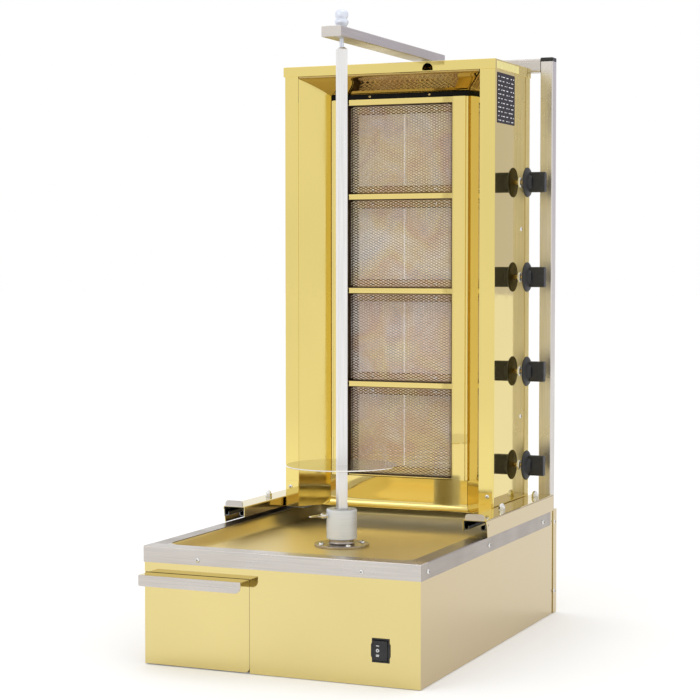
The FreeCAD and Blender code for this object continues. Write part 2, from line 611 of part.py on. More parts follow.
def tower_inside():
    """Ceiling deflector, floor shield, floor plate, burner frame and slider shoes."""
    slope = (("%s + 0.2" % WALL_Y, "%s - 1.5" % INNER_TOP), ("%s + 22" % WALL_Y, "%s - 8" % INNER_TOP),
             ("%s + 42" % WALL_Y, "%s - 20" % INNER_TOP), ("throat_y", "961"))
    under = tuple((y, "(%s) - gauge" % z) for y, z in reversed(slope))
    sheet_solid = pad("YZ", slope + under, "-tower_half", "tower_half")
    named("ceiling_deflector", common(sheet_solid, throat("900", INNER_TOP)))
    dish = (("144", "tower_bottom"), ("150", "tower_bottom"), ("155", "tower_bottom + 3"),
            ("157.6", "tower_bottom + 12"), ("158.4", "tower_bottom + 48"))
    thick = (("157.2", "tower_bottom + 48"), ("156.4", "tower_bottom + 12.3"), ("154.3", "tower_bottom + 4.1"),
             ("149.6", "tower_bottom + gauge"), ("144", "tower_bottom + gauge"))
    named("floor_shield", common(pad("YZ", dish + thick, "-tower_half", "tower_half"), throat("100", "300")))
    named("tower_floor", box(("-shoe_inner", "shoe_inner"), ("throat_y", "tower_rear_y - gauge"),
                             ("tower_bottom", "tower_bottom + gauge")))
    plate = box(("-throat_half", "throat_half"), ("throat_y", "throat_y + gauge"), ("257", "950"))
    windows = [box(("-(screen_half + 2.5)", "screen_half + 2.5"), ("throat_y - 5", "throat_y + 5"),
                   ("%s - screen_half_height - 1" % centre_height(i), "%s + screen_half_height + 1" % centre_height(i)))
               for i in range(BURNER_COUNT)]
    named("burner_frame", cut(plate, *windows))
    shoes = []
    for _, sign, _ in mirrored_sides():
        foot = (("shoe_inner", "rim_top + gap"), ("shoe_outer", "rim_top + gap"), ("shoe_outer", "rail_lip - gap"),
                ("tower_half - gauge", "rail_lip - gap"), ("tower_half - gauge", "tower_bottom + 10"),
                ("shoe_inner", "tower_bottom + 10"))
        shoes.append(pad("XZ", tuple(("%s * (%s)" % (sign, x), z) for x, z in foot), "throat_y + 4", "tower_rear_y - 4"))
    named("slider_shoes", group(*shoes))
    named("tower_screws", group(*[screw(*spot) for spot in tower_screw_places()]))
    named("rating_plates", group(box(("tower_half", "tower_half + 0.6"), ("117", "212"), ("898", "986")),
                                 box(("tower_half + cap_overhang", "tower_half + cap_overhang + 0.4"),
                                     ("111", "231"), ("992", "1005"))))


# ---------------------------------------------------------------- burners and gas
def centre_height(i):
    return "(burner_first + %d * burner_pitch)" % i


def tap_height(i):
    return "(%s - tap_drop)" % centre_height(i)


def centred(half_x, y, half_z, i):
    """A block centred on burner i."""
    return box(("-(%s)" % half_x, half_x), y, ("%s - (%s)" % (centre_height(i), half_z),
                                               "%s + (%s)" % (centre_height(i), half_z)))


def burner(i):
    """Sheet casing round the tiles, with its mixing tube along the back."""
    half_tile = "tile_height / 2"
    outer = centred("casing_half", ("throat_y + gauge", "casing_rear_y"), "casing_half_height", i)
    pocket = centred("screen_half + 0.4", ("throat_y", "tile_y - 2.5"), "screen_half_height + 0.4", i)
    window = centred("tile_width - 0.7", ("tile_y - 3", "tile_y + 1"), "%s - 0.7" % half_tile, i)
    seat = centred("tile_width + 0.2", ("tile_y", "tile_y + tile_depth"), "%s + 0.2" % half_tile, i)
    plenum = centred("tile_width - 4", ("tile_y + tile_depth - 1", "casing_rear_y - gauge"), "%s - 4" % half_tile, i)
    tube = rod("mixer_radius", "112", "60", "tap_y", tap_height(i), RIGHT)
    elbow = rod("mixer_radius", "tap_y - casing_rear_y + 1", "60", "casing_rear_y - 1", tap_height(i), BACK)
    bore = rod("mixer_radius - 2", "113", "60", "tap_y", tap_height(i), RIGHT)
    elbow_bore = rod("mixer_radius - 2", "tap_y - casing_rear_y + 3", "60", "casing_rear_y - 3", tap_height(i), BACK)
    named("burner_%d" % (i + 1), cut(fuse(outer, tube, elbow), pocket, window, seat, plenum, bore, elbow_bore))


def burner_fronts():
    """Two ceramic tiles and one screen for each burner."""
    tiles, screens = [], []
    for i in range(BURNER_COUNT):
        height = ("%s - tile_height / 2" % centre_height(i), "%s + tile_height / 2" % centre_height(i))
        for x in (("-tile_width", "-0.1"), ("0.1", "tile_width")):
            tiles.append(box(x, ("tile_y", "tile_y + tile_depth"), height))
        screens.append(centred("screen_half", ("screen_y", "screen_y + 1"), "screen_half_height", i))
    named("ceramic_tiles", group(*tiles))
    named("burner_screens", group(*screens))


def gas_train():
    """Tap, stem and knob for each burner, and the manifold that feeds the taps."""
    taps, links = [], []
    for i in range(BURNER_COUNT):
        z = tap_height(i)
        block = box(("174", "198"), ("tap_y - 11", "tap_y + 11"), ("%s - 11" % z, "%s + 11" % z))
        nozzle = rod("4", "8", "166", "tap_y", z, RIGHT)
        taps.append(cut(fuse(block, nozzle), rod("stem_radius + 0.05", "20", "186", "tap_y", z, RIGHT)))
        links.append(rod("4", "11", "186", "tap_y + 11", z, BACK))
        stem = rod("stem_radius", "knob_face + 22 - 187", "187", "tap_y", z, RIGHT)
        named("knob_stem_%d" % (i + 1), stem)
        knob(i)
    pipe = rod("7", "%s - %s + 30" % (tap_height(BURNER_COUNT - 1), tap_height(0)), "186", "270",
               "%s - 20" % tap_height(0))
    inlet = fuse(rod("7", "34", "186", "270", "270", BACK), rod("6", "18", "186", "304", "270", BACK))
    named("gas_taps", group(*taps))
    named("gas_manifold", fuse(pipe, inlet, *links))


def knob(i):
    """Round skirt with an upright grip bar."""
    skirt = turned((("0", "0"), ("knob_disc_radius", "0"), ("knob_disc_radius", "3"),
                    ("knob_disc_radius - 3", "9"), ("knob_disc_radius - 12", "12"), ("0", "12")))
    place(skirt, "knob_face", "tap_y", tap_height(i), RIGHT)
    grip = box(("knob_face + 5", "knob_reach"), ("tap_y - 7", "tap_y + 7"),
               ("%s - 18.5" % tap_height(i), "%s + 18.5" % tap_height(i)))
    bore = rod("stem_radius", "knob_face + 22 - 200", "200", "tap_y", tap_height(i), RIGHT)
    named("knob_%d" % (i + 1), cut(fuse(skirt, grip), bore))


# ---------------------------------------------------------------- build, check and write
def build():
    for make in (base_shell, base_floor, rear_cover, rim, drip_pan, base_fasteners, drawer, drawer_guides,
                 drive, switch, rails, mast, spit, tower_skins, tower_inside, burner_fronts, gas_train):
        make()
    for i in range(BURNER_COUNT):
        burner(i)
    doc.recompute()


def check():
    """Stop if any object failed to compute or any sub-part's shape is missing or invalid."""
    for item in doc.Objects:
        if {"Invalid", "Error"} & set(item.State):
            raise RuntimeError("%s (%s) did not compute: %s" % (item.Name, item.Label, item.State))
    for item in sub_parts:
        if item.Shape.isNull() or not item.Shape.isValid() or not item.Shape.Solids:
            raise RuntimeError("%s has no valid shape" % item.Label)


def write():
    os.makedirs("parts", exist_ok=True)
    for item in sub_parts:
        item.Shape.exportStep("parts/%s.step" % item.Label)
        extent = item.Shape.BoundBox
        print("%-18s solids %2d  x %7.1f %7.1f  y %7.1f %7.1f  z %7.1f %7.1f"
              % (item.Label, len(item.Shape.Solids), extent.XMin, extent.XMax, extent.YMin, extent.YMax,
                 extent.ZMin, extent.ZMax))


build()
check()
write()
print(len(sub_parts), "sub-parts")
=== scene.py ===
import json
import math

import bmesh
import bpy
from mathutils import Matrix, Vector


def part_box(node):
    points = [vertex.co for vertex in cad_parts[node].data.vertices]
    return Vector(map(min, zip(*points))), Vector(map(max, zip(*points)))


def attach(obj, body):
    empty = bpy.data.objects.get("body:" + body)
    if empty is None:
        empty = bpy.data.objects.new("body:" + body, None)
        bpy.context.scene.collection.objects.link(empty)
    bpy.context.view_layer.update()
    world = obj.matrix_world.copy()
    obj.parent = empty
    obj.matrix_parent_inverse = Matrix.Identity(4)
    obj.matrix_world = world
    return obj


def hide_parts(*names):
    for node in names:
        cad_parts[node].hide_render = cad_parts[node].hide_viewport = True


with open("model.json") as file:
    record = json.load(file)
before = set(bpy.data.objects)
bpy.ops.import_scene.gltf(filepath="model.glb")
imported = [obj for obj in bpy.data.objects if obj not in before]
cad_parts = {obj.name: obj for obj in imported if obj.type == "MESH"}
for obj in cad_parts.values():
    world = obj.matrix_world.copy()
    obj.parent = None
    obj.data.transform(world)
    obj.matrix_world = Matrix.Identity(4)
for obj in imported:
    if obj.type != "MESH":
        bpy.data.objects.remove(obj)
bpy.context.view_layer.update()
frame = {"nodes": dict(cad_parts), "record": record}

# Looks of the vertical rotisserie broiler.  Sizes below are millimetres and become metres in MM.
MM = 0.001
nodes = frame["nodes"]
scene = bpy.context.scene


def node_box(name):
    """The CAD node's lowest and highest corners in millimetres."""
    low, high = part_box(name)
    return low / MM, high / MM


# ---------------------------------------------------------------- materials
def set_range(node, *numbers):
    """From and to limits of a map range node."""
    for socket, number in zip(("From Min", "From Max", "To Min", "To Max"), numbers):
        node.inputs[socket].default_value = number


class Recipe:
    """A material whose nodes are added by short calls."""

    def __init__(self, name, colour, metallic, roughness):
        self.material = bpy.data.materials.new(name)
        self.material.use_nodes = True
        self.tree = self.material.node_tree
        self.shader = self.tree.nodes["Principled BSDF"]
        self.shader.inputs["Metallic"].default_value = metallic
        self.shader.inputs["Roughness"].default_value = roughness
        self.shader.inputs["Base Color"].default_value = (*colour, 1)
        self.colour = colour
        self.place = self.tree.nodes.new("ShaderNodeTexCoord").outputs["Object"]

    def stretched(self, scale):
        mapping = self.tree.nodes.new("ShaderNodeMapping")
        mapping.inputs["Scale"].default_value = scale
        self.tree.links.new(self.place, mapping.inputs["Vector"])
        return mapping.outputs["Vector"]

    def noise(self, scale, detail=3.0, where=None, distortion=0.0):
        node = self.tree.nodes.new("ShaderNodeTexNoise")
        node.inputs["Scale"].default_value = scale
        node.inputs["Detail"].default_value = detail
        node.inputs["Distortion"].default_value = distortion
        self.tree.links.new(where or self.place, node.inputs["Vector"])
        return node.outputs["Fac"]

    def cells(self, scale, randomness=1.0, where=None):
        node = self.tree.nodes.new("ShaderNodeTexVoronoi")
        node.inputs["Scale"].default_value = scale
        node.inputs["Randomness"].default_value = randomness
        self.tree.links.new(where or self.place, node.inputs["Vector"])
        return node.outputs["Distance"]

    def spread(self, value, low, high, from_low=0.3, from_high=0.7):
        node = self.tree.nodes.new("ShaderNodeMapRange")
        set_range(node, from_low, from_high, low, high)
        self.tree.links.new(value, node.inputs["Value"])
        return node.outputs["Result"]

    def ramp(self, value, stops):
        node = self.tree.nodes.new("ShaderNodeValToRGB")
        elements = node.color_ramp.elements
        while len(elements) < len(stops):
            elements.new(0.5)
        for element, (position, colour) in zip(elements, stops):
            element.position = position
            element.color = (*colour, 1)
        self.tree.links.new(value, node.inputs["Fac"])
        return node.outputs["Color"]

    def mix(self, factor, first, second, blend="MIX"):
        node = self.tree.nodes.new("ShaderNodeMix")
        node.data_type = "RGBA"
        node.blend_type = blend
        for socket, value in ((node.inputs[0], factor), (node.inputs[6], first), (node.inputs[7], second)):
            if isinstance(value, bpy.types.NodeSocket):
                self.tree.links.new(value, socket)
            else:
                socket.default_value = value if isinstance(value, float) else (*value, 1)
        return node.outputs[2]

    def colour_from(self, socket):
        self.tree.links.new(socket, self.shader.inputs["Base Color"])

    def roughness_from(self, socket):
        self.tree.links.new(socket, self.shader.inputs["Roughness"])

    def bump(self, socket, distance_mm, strength=1.0):
        node = self.tree.nodes.new("ShaderNodeBump")
        node.inputs["Distance"].default_value = distance_mm * MM
        node.inputs["Strength"].default_value = strength
        self.tree.links.new(socket, node.inputs["Height"])
        if self.shader.inputs["Normal"].is_linked:
            self.tree.links.new(self.shader.inputs["Normal"].links[0].from_socket, node.inputs["Normal"])
        self.tree.links.new(node.outputs["Normal"], self.shader.inputs["Normal"])


def gold_sheet(name, colour, ripple_mm, sideways_painted_shade=None, rough=(0.025, 0.085)):
    """Gold sheet: waves from bending, wiped smears and dust; faces that look sideways are mixed towards a
    darker colour, a painted shade for the dimmer surroundings they reflect.
    """
    made = Recipe(name, colour, 1.0, 0.05)
    tint = made.noise(3.0, 2.0)
    deep = tuple(c * 0.93 for c in colour)
    shown = made.mix(made.spread(tint, 0.0, 1.0), colour, deep)
    # painted shade: faces turned along x are mixed towards the darker side colour, for the dimmer
    # surroundings they reflect
    if sideways_painted_shade:
        facing = made.tree.nodes.new("ShaderNodeSeparateXYZ")
        surface = made.tree.nodes.new("ShaderNodeNewGeometry")
        made.tree.links.new(surface.outputs["Normal"], facing.inputs["Vector"])
        sideways = made.tree.nodes.new("ShaderNodeMath")
        sideways.operation = "ABSOLUTE"
        made.tree.links.new(facing.outputs["X"], sideways.inputs[0])
        shown = made.mix(made.spread(sideways.outputs["Value"], 0.0, 1.0, 0.6, 0.9), shown, sideways_painted_shade)
    made.colour_from(shown)
    smear = made.noise(26.0, 5.0, made.stretched((1.0, 1.0, 0.25)), 0.6)
    made.roughness_from(made.spread(smear, rough[0], rough[1], 0.35, 0.75))
    made.bump(made.noise(3.5, 1.0), ripple_mm)
    made.bump(made.noise(420.0, 2.0), 0.0015)
    return made.material


def brushed(name, colour, scale, roughness=0.3):
    """Brushed sheet or tube with its grain along the axis whose scale is smallest."""
    made = Recipe(name, colour, 1.0, roughness)
    grain = made.noise(1.0, 6.0, made.stretched(scale))
    cloud = made.noise(14.0, 3.0)
    made.colour_from(made.mix(made.spread(grain, 0.0, 1.0), colour, tuple(c * 0.78 for c in colour)))
    made.roughness_from(made.spread(cloud, roughness - 0.06, roughness + 0.1))
    made.bump(grain, 0.006)
    return made.material


def along(axis):
    """Noise scale whose grain runs along one axis."""
    fine, coarse = 1600.0, 9.0
    return tuple(coarse if letter == axis else fine for letter in "xyz")


def turned_metal(name, colour, roughness, pitch=1500.0):
    """Lathe-turned metal with fine rings."""
    made = Recipe(name, colour, 1.0, roughness)
    rings = made.noise(1.0, 4.0, made.stretched((8.0, 8.0, pitch)))
    made.colour_from(made.mix(made.spread(rings, 0.0, 1.0), colour, tuple(c * 0.86 for c in colour)))
    made.roughness_from(made.spread(made.noise(90.0, 3.0), roughness - 0.05, roughness + 0.08))
    made.bump(rings, 0.004)
    return made.material


def plain_metal(name, colour, roughness, speckle=220.0, depth=0.01):
    """Plain metal with cloudy patches and fine pits."""
    made = Recipe(name, colour, 1.0, roughness)
    patch = made.noise(18.0, 4.0)
    made.colour_from(made.mix(made.spread(patch, 0.0, 1.0), colour, tuple(c * 0.85 for c in colour)))
    made.roughness_from(made.spread(patch, roughness - 0.04, roughness + 0.1))
    made.bump(made.noise(speckle, 3.0), depth)
    return made.material


def moulded(name, colour, roughness, specular=0.45):
    """Moulded plastic or paint with a fine grain and faint handling marks."""
    made = Recipe(name, colour, 0.0, roughness)
    made.shader.inputs["Specular IOR Level"].default_value = specular
    scuff = made.noise(60.0, 5.0, None, 0.4)
    lighter = tuple(min(1.0, c * 1.5 + 0.006) for c in colour)
    made.colour_from(made.mix(made.spread(scuff, 0.0, 1.0, 0.5, 0.8), colour, lighter))
    made.roughness_from(made.spread(scuff, roughness - 0.05, roughness + 0.12))
    made.bump(made.noise(1900.0, 2.0), 0.02)
    return made.material


def ceramic_plaque():
    """Pale radiant plaque: a close grid of burner holes darkened with painted shade, with pink and blue heat
    tints.
    """
    made = Recipe("ceramic_plaque", (0.8, 0.75, 0.68), 0.0, 0.75)
    stain = made.noise(11.0, 3.0, made.stretched((1.0, 1.0, 0.8)), 1.2)
    tinted = made.ramp(stain, ((0.28, (0.50, 0.45, 0.45)), (0.42, (0.62, 0.54, 0.47)),
            (0.52, (0.62, 0.50, 0.34)), (0.6, (0.56, 0.41, 0.34)), (0.72, (0.54, 0.48, 0.45))))
    holes = made.cells(640.0, 0.0)
    # painted shade: the colour is darkened inside each burner hole
    painted_hole_shade = made.ramp(holes, ((0.18, (0.3, 0.27, 0.24)), (0.42, (1.0, 1.0, 1.0))))
    made.colour_from(made.mix(1.0, tinted, painted_hole_shade, "MULTIPLY"))
    made.bump(made.spread(holes, 0.0, 1.0, 0.15, 0.45), 0.5)
    return made.material


def heat_screen():
    """Expanded metal that has been hot: straw, violet and grey oxide over bright metal."""
    made = Recipe("heat_screen", (0.85, 0.76, 0.58), 1.0, 0.24)
    stain = made.noise(9.0, 3.0, None, 0.8)
    made.colour_from(made.ramp(stain, ((0.3, (0.90, 0.84, 0.74)), (0.48, (0.88, 0.74, 0.48)),
            (0.58, (0.80, 0.60, 0.46)), (0.7, (0.88, 0.80, 0.72)))))
    made.roughness_from(made.spread(made.noise(300.0, 2.0), 0.16, 0.3))
    made.bump(made.noise(900.0, 2.0), 0.02)
    return made.material


GOLD = (0.745, 0.62, 0.275)
STEEL = (0.64, 0.60, 0.56)
# the last colour is a painted shade: sideways faces of this gold are darkened for the dimmer surroundings
# they reflect
gold = gold_sheet("gold_mirror", GOLD, 0.5, (0.575, 0.465, 0.275))
gold_tower = gold_sheet("gold_tower", (0.80, 0.65, 0.225), 0.35)
gold_inner = gold_sheet("gold_heated", (0.80, 0.64, 0.23), 0.35)
gold_pan = gold_sheet("gold_pan", (0.86, 0.71, 0.33), 0.2, None, (0.40, 0.48))
gold_smoked = gold_sheet("gold_smoked", (0.44, 0.315, 0.11), 0.3)
steel_x = brushed("brushed_across", STEEL, along("x"))
steel_y = brushed("brushed_along", STEEL, along("y"))
# painted shade: a darker copy of the brushed steel, for the shade on the rim's side bars
steel_painted_shade = brushed("brushed_painted_shade", (0.42, 0.375, 0.335), along("y"))
steel_z = brushed("brushed_upright", (0.74, 0.70, 0.65), along("z"))
spit_steel = brushed("spit_steel", (0.90, 0.885, 0.865), along("z"), 0.3)
aluminium = turned_metal("turned_aluminium", (0.80, 0.84, 0.93), 0.46)
aluminium.node_tree.nodes["Principled BSDF"].inputs["Metallic"].default_value = 0.6
bright = plain_metal("bright_screws", (0.82, 0.81, 0.79), 0.14)
polished = turned_metal("polished_disc", (0.82, 0.80, 0.76), 0.07, 300.0)
mill = plain_metal("plain_sheet", (0.5, 0.5, 0.5), 0.38)
casting = plain_metal("gear_casting", (0.5, 0.51, 0.52), 0.5, 500.0, 0.12)
brass = turned_metal("brass", (0.78, 0.58, 0.26), 0.22)
plastic = moulded("black_plastic", (0.013, 0.013, 0.014), 0.42)
# painted shade: dark brown gold for the sheet round each plaque, standing for that sheet in shadow behind the
# screen
painted_shade_gold = plain_metal("painted_shade_gold", (0.30, 0.19, 0.07), 0.35)
hub_steel = plain_metal("hub_steel", (0.42, 0.37, 0.33), 0.24)
# painted shadow: near-black for the strip across the flue and the recesses of its screws
flue_painted_shadow = moulded("flue_painted_shadow", (0.006, 0.005, 0.004), 0.75, 0.15)
burnt_steel = plain_metal("burnt_steel", (0.12, 0.085, 0.055), 0.35)
motor_paint = moulded("motor_paint", (0.05, 0.055, 0.06), 0.5)
# painted shadow: near-black for the rails' insides, their bolt holes and the screws' cross recesses
track_shadow = moulded("track_painted_shadow", (0.02, 0.02, 0.02), 0.35)
track_steel = plain_metal("track_steel", (0.16, 0.165, 0.17), 0.16)
white_ink = moulded("white_ink", (0.8, 0.8, 0.8), 0.5)
plate_ink = moulded("plate_ink", (0.03, 0.026, 0.034), 0.6, 0.2)
yellow_film = moulded("yellow_film", (0.80, 0.70, 0.26), 0.4)
ceramic = ceramic_plaque()
screen_metal = heat_screen()

# the materials that stand for each slot of the record; the first one dresses the CAD nodes
FINISHES = {
    "gold_sheet": (gold, gold_tower, gold_inner, gold_pan, gold_smoked, painted_shade_gold),
    "brushed_steel": (steel_z, steel_x, steel_y, steel_painted_shade, spit_steel, hub_steel),
    "black_plastic": (plastic, track_shadow, track_steel, flue_painted_shadow, white_ink), "brass": (brass,),
    "turned_aluminium": (aluminium,), "bright_screws": (bright,), "ceramic": (ceramic,),
    "plain_sheet": (mill,), "gear_casting": (casting,), "motor_paint": (motor_paint,),
    "heat_screen": (screen_metal,),
    "polished_steel": (polished,), "plate_film": (plate_ink, yellow_film),
}
NODE_MATERIALS = {"top_arm": steel_y, "rear_crossbar": steel_x, "rim": steel_x, "spit_bar": spit_steel,
        "tower_cap": gold_tower, "inner_wall_left": gold_tower, "inner_wall_right": gold_tower}
NODE_MATERIALS.update({"burner_%d" % number: burnt_steel for number in range(1, 5)})


def dress_cad_nodes():
    """Give every CAD node the material of its slot, or its own where its grain runs another way."""
    slot_of = {entry["node"]: entry["material_slot"] for entry in frame["record"]["subparts"]}
    for name, thing in nodes.items():
        material = NODE_MATERIALS.get(name) or FINISHES[slot_of[name]][0]
        thing.data.materials.clear()
        thing.data.materials.append(material)


dress_cad_nodes()


# ---------------------------------------------------------------- mesh tools
def show(name, build, material, body, replaced=(), smooth_degrees=35):
    """A piece made by a function that fills a bmesh in millimetres: scaled, shaded and riding on its body."""
    mesh = bpy.data.meshes.new(name)
    work = bmesh.new()
    build(work)
    bmesh.ops.recalc_face_normals(work, faces=work.faces)
    work.to_mesh(mesh)
    work.free()
    mesh.transform(Matrix.Scale(MM, 4))
    for polygon in mesh.polygons:
        polygon.use_smooth = True
    mesh.set_sharp_from_angle(angle=math.radians(smooth_degrees))
    materials = material if isinstance(material, list) else [material]
    for item in materials:
        mesh.materials.append(item)
    piece = bpy.data.objects.new(name, mesh)
    scene.collection.objects.link(piece)
    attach(piece, body)
    if replaced:
        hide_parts(*([replaced] if isinstance(replaced, str) else replaced))
    even = piece.modifiers.new("even", "WEIGHTED_NORMAL")
    even.keep_sharp = True


def soften(work, radius, segments=2, edges=None):
    """Round the sharp edges of a bmesh."""
    if edges is None:
        edges = [e for e in work.edges if e.is_manifold and e.calc_face_angle(0.0) > math.radians(25)]
    bmesh.ops.bevel(work, geom=edges, offset=radius, segments=segments, affect="EDGES", profile=0.5,
            clamp_overlap=True)


def add_block(work, low, high, radius=0.0, segments=2):
    """A block between two corners, with rounded edges."""
    made = bmesh.ops.create_cube(work, size=1.0)
    size, middle = Vector(high) - Vector(low), (Vector(high) + Vector(low)) / 2
    for vert in made["verts"]:
        vert.co = Vector([c * s for c, s in zip(vert.co, size)]) + middle
    if radius:
        edges = list({e for vert in made["verts"] for e in vert.link_edges})
        soften(work, radius, segments, edges)


def rectangle(x0, y0, x1, y1):
    return [(x0, y0), (x1, y0), (x1, y1), (x0, y1)]


def rounded_corners(points, radii, steps=5):
    """A closed outline whose corners are replaced by arcs."""
    count, result = len(points), []
    for i, (x, y) in enumerate(points):
        radius = radii[i] if isinstance(radii, (list, tuple)) else radii
        here = Vector((x, y))
        if radius <= 0:
            result.append(here)
            continue
        before = (Vector(points[i - 1]) - here).normalized()
        after = (Vector(points[(i + 1) % count]) - here).normalized()
        turn = before.angle(after)
        reach = radius / math.tan(turn / 2)
        centre = here + (before + after).normalized() * (radius / math.sin(turn / 2))
        start, end = here + before * reach, here + after * reach
        first, last = (start - centre), (end - centre)
        sweep = first.angle_signed(last)
        for k in range(steps + 1):
            angle = -sweep * k / steps
            result.append(centre + Matrix.Rotation(angle, 2) @ first)
    return result


AXES = {"x": (1, 2, 0), "y": (0, 2, 1), "z": (0, 1, 2)}


def lift(point, axis, along_axis):
    """A flat point and a distance along an axis as a point in space."""
    across, up, depth = AXES[axis]
    spot = [0.0, 0.0, 0.0]
    spot[across], spot[up], spot[depth] = point[0], point[1], along_axis
    return Vector(spot)


def add_prism(work, outline, axis, low, high, radius=0.0, segments=2):
    """A closed outline drawn out along an axis, with its edges rounded."""
    bottom = [work.verts.new(lift(p, axis, low)) for p in outline]
    top = [work.verts.new(lift(p, axis, high)) for p in outline]
    caps = [work.faces.new(bottom), work.faces.new(list(reversed(top)))]
    count = len(outline)
    for i in range(count):
        work.faces.new((bottom[i], top[i], top[(i + 1) % count], bottom[(i + 1) % count]))
    if radius:
        soften(work, radius, segments, [e for cap in caps for e in cap.edges])


def add_lathe(work, profile, axis, centre, steps=64, from_angle=0.0):
    """A closed or open profile of (radius, distance) pairs turned about an axis through centre."""
    across, up, depth = AXES[axis]
    rings = []
    for radius, distance in profile:
        ring = []
        for k in range(steps if radius > 1e-6 else 1):
            angle = from_angle + 2 * math.pi * k / steps
            spot = [0.0, 0.0, 0.0]
            spot[across], spot[up], spot[depth] = radius * math.cos(angle), radius * math.sin(angle), distance
            ring.append(work.verts.new(Vector(spot) + Vector(centre)))
        rings.append(ring)
    for first, second in zip(rings, rings[1:]):
        for k in range(steps):
            quad = [first[k % len(first)], first[(k + 1) % len(first)], second[(k + 1) % len(second)],
                    second[k % len(second)]]
            corners = list(dict.fromkeys(quad))
            if len(corners) > 2:
                work.faces.new(corners)
    for ring in (rings[0], rings[-1]):
        if len(ring) > 2:
            work.faces.new(ring)


def eased(profile, radius, steps=3):
    """A turned profile with every inner corner rounded."""
    result = [Vector(profile[0])]
    for before, here, after in zip(profile, profile[1:], profile[2:]):
        here, into, out = Vector(here), Vector(here) - Vector(before), Vector(after) - Vector(here)
        cut = min(radius, into.length * 0.45, out.length * 0.45)
        start, end = here - into.normalized() * cut, here + out.normalized() * cut
        for k in range(steps + 1):
            t = k / steps
            result.append(start * (1 - t) ** 2 + here * 2 * t * (1 - t) + end * t ** 2)
    result.append(Vector(profile[-1]))
    return [(p.x, p.y) for p in result]


def sheet_outline(path, thickness, radius, steps=4):
    """The closed outline of a sheet bent along an open path; the sheet lies on the path's left."""
    def rounded(points, grow):
        result = [Vector(points[0])]
        for before, here, after in zip(points, points[1:], points[2:]):
            here = Vector(here)
            back, ahead = (Vector(before) - here).normalized(), (Vector(after) - here).normalized()
            turn = back.angle(ahead)
            side = back.x * ahead.y - back.y * ahead.x
            bend = max(0.05, radius + (grow if side < 0 else -grow))
            reach = bend / math.tan(turn / 2)
            centre = here + (back + ahead).normalized() * (bend / math.sin(turn / 2))
            first, last = here + back * reach - centre, here + ahead * reach - centre
            sweep = first.angle_signed(last)
            result += [centre + Matrix.Rotation(-sweep * k / steps, 2) @ first for k in range(steps + 1)]
        result.append(Vector(points[-1]))
        return result

    def offset(points, distance):
        lines = []
        for first, second in zip(points, points[1:]):
            way = (Vector(second) - Vector(first)).normalized()
            normal = Vector((-way.y, way.x)) * distance
            lines.append((Vector(first) + normal, Vector(second) + normal, way))
        result = [lines[0][0]]
        for (a, _, u), (b, _, v) in zip(lines, lines[1:]):
            denominator = u.x * v.y - u.y * v.x
            t = ((b.x - a.x) * v.y - (b.y - a.y) * v.x) / denominator
            result.append(a + u * t)
        result.append(lines[-1][1])
        return result
    near = rounded(path, 0.0)
    far = rounded(offset(path, thickness), -thickness)
    return near + list(reversed(far))


def soften_cad(name, width_mm):
    """Round the edges of a CAD node that is shown as it is."""
    thing = nodes[name]
    weld = thing.modifiers.new("weld", "WELD")
    weld.merge_threshold = 0.01 * MM
    flat = thing.modifiers.new("flat", "DECIMATE")
    flat.decimate_type = "DISSOLVE"
    flat.angle_limit = math.radians(0.5)
    edge = thing.modifiers.new("edge", "BEVEL")
    edge.width = width_mm * MM
    edge.segments = 2
    edge.limit_method = "ANGLE"
    edge.angle_limit = math.radians(30)
    edge.harden_normals = True


# ---------------------------------------------------------------- sizes read from the frame
rim_low, rim_high = node_box("rim")
drawer_low, drawer_high = node_box("drawer_front")
disc_low, disc_high = node_box("meat_disc")
collar_low, collar_high = node_box("drive_collar")
hub_low, hub_high = node_box("hub_flange")
bar_low, bar_high = node_box("spit_bar")
cap_high = node_box("tower_cap")[1]
throat_low, throat_high = node_box("inner_wall_right")
frame_low, frame_high = node_box("burner_frame")
screens_low, screens_high = node_box("burner_screens")
SPIT_Y = (disc_low.y + disc_high.y) / 2
BAR_TURN = math.radians(40.7)
GAUGE = 1.2
RAIL_MIDDLE = (node_box("rail_right")[0].x + node_box("rail_right")[1].x) / 2
FRONT_Y = node_box("base_shell")[0].y
RIM_TOP = rim_high.z
PAN_HALF, PAN_FRONT, PAN_REAR, PAN_FLOOR = 215.0, -322.0, 304.0, 173.0
PAN_CORNER, PAN_SWEEP = 24.0, 22.0      # corner radius in plan, and how far the sides sweep in
PAN_TOP = RIM_TOP - 1.3                 # just under the rim's flange
FRONT_SCREWS_X, SIDE_SCREWS_Y, REAR_SCREWS_Z = (-143, 143), (-322, -34, 265), (171, 41)
REAR_SCREWS_Y, HUB_BOLT_CIRCLE, SHAFT_SCREW_Z = 336, 36.5, 225
BURNERS = 4
SIDES = (("left", -1), ("right", 1))
STRIP_JOINT = 331.0                     # where the lower and upper strips beside the burners overlap
FLUE_LOW, FLUE_HIGH, FLUE_SCREWS_X = 950.2, 961.2, (-58, 58)
THROAT = 132.9                          # half width between the inner walls at their rear edge
PANEL_SCREW_X, PANEL_SCREW_Z, SIDE_SCREW_Y, SIDE_SCREWS_Z = 190.7, 242, 253, (714, 373)
PLATE_LOW, PLATE_HIGH = (117, 898), (212, 986)        # rating plate, y and z
FILM_LOW, FILM_HIGH = (111, 992), (231, 1005)         # yellow strip, y and z
BURNER_PITCH = (screens_high.z - screens_low.z - 160.0) / (BURNERS - 1)
BURNER_FIRST = screens_low.z + 80.0


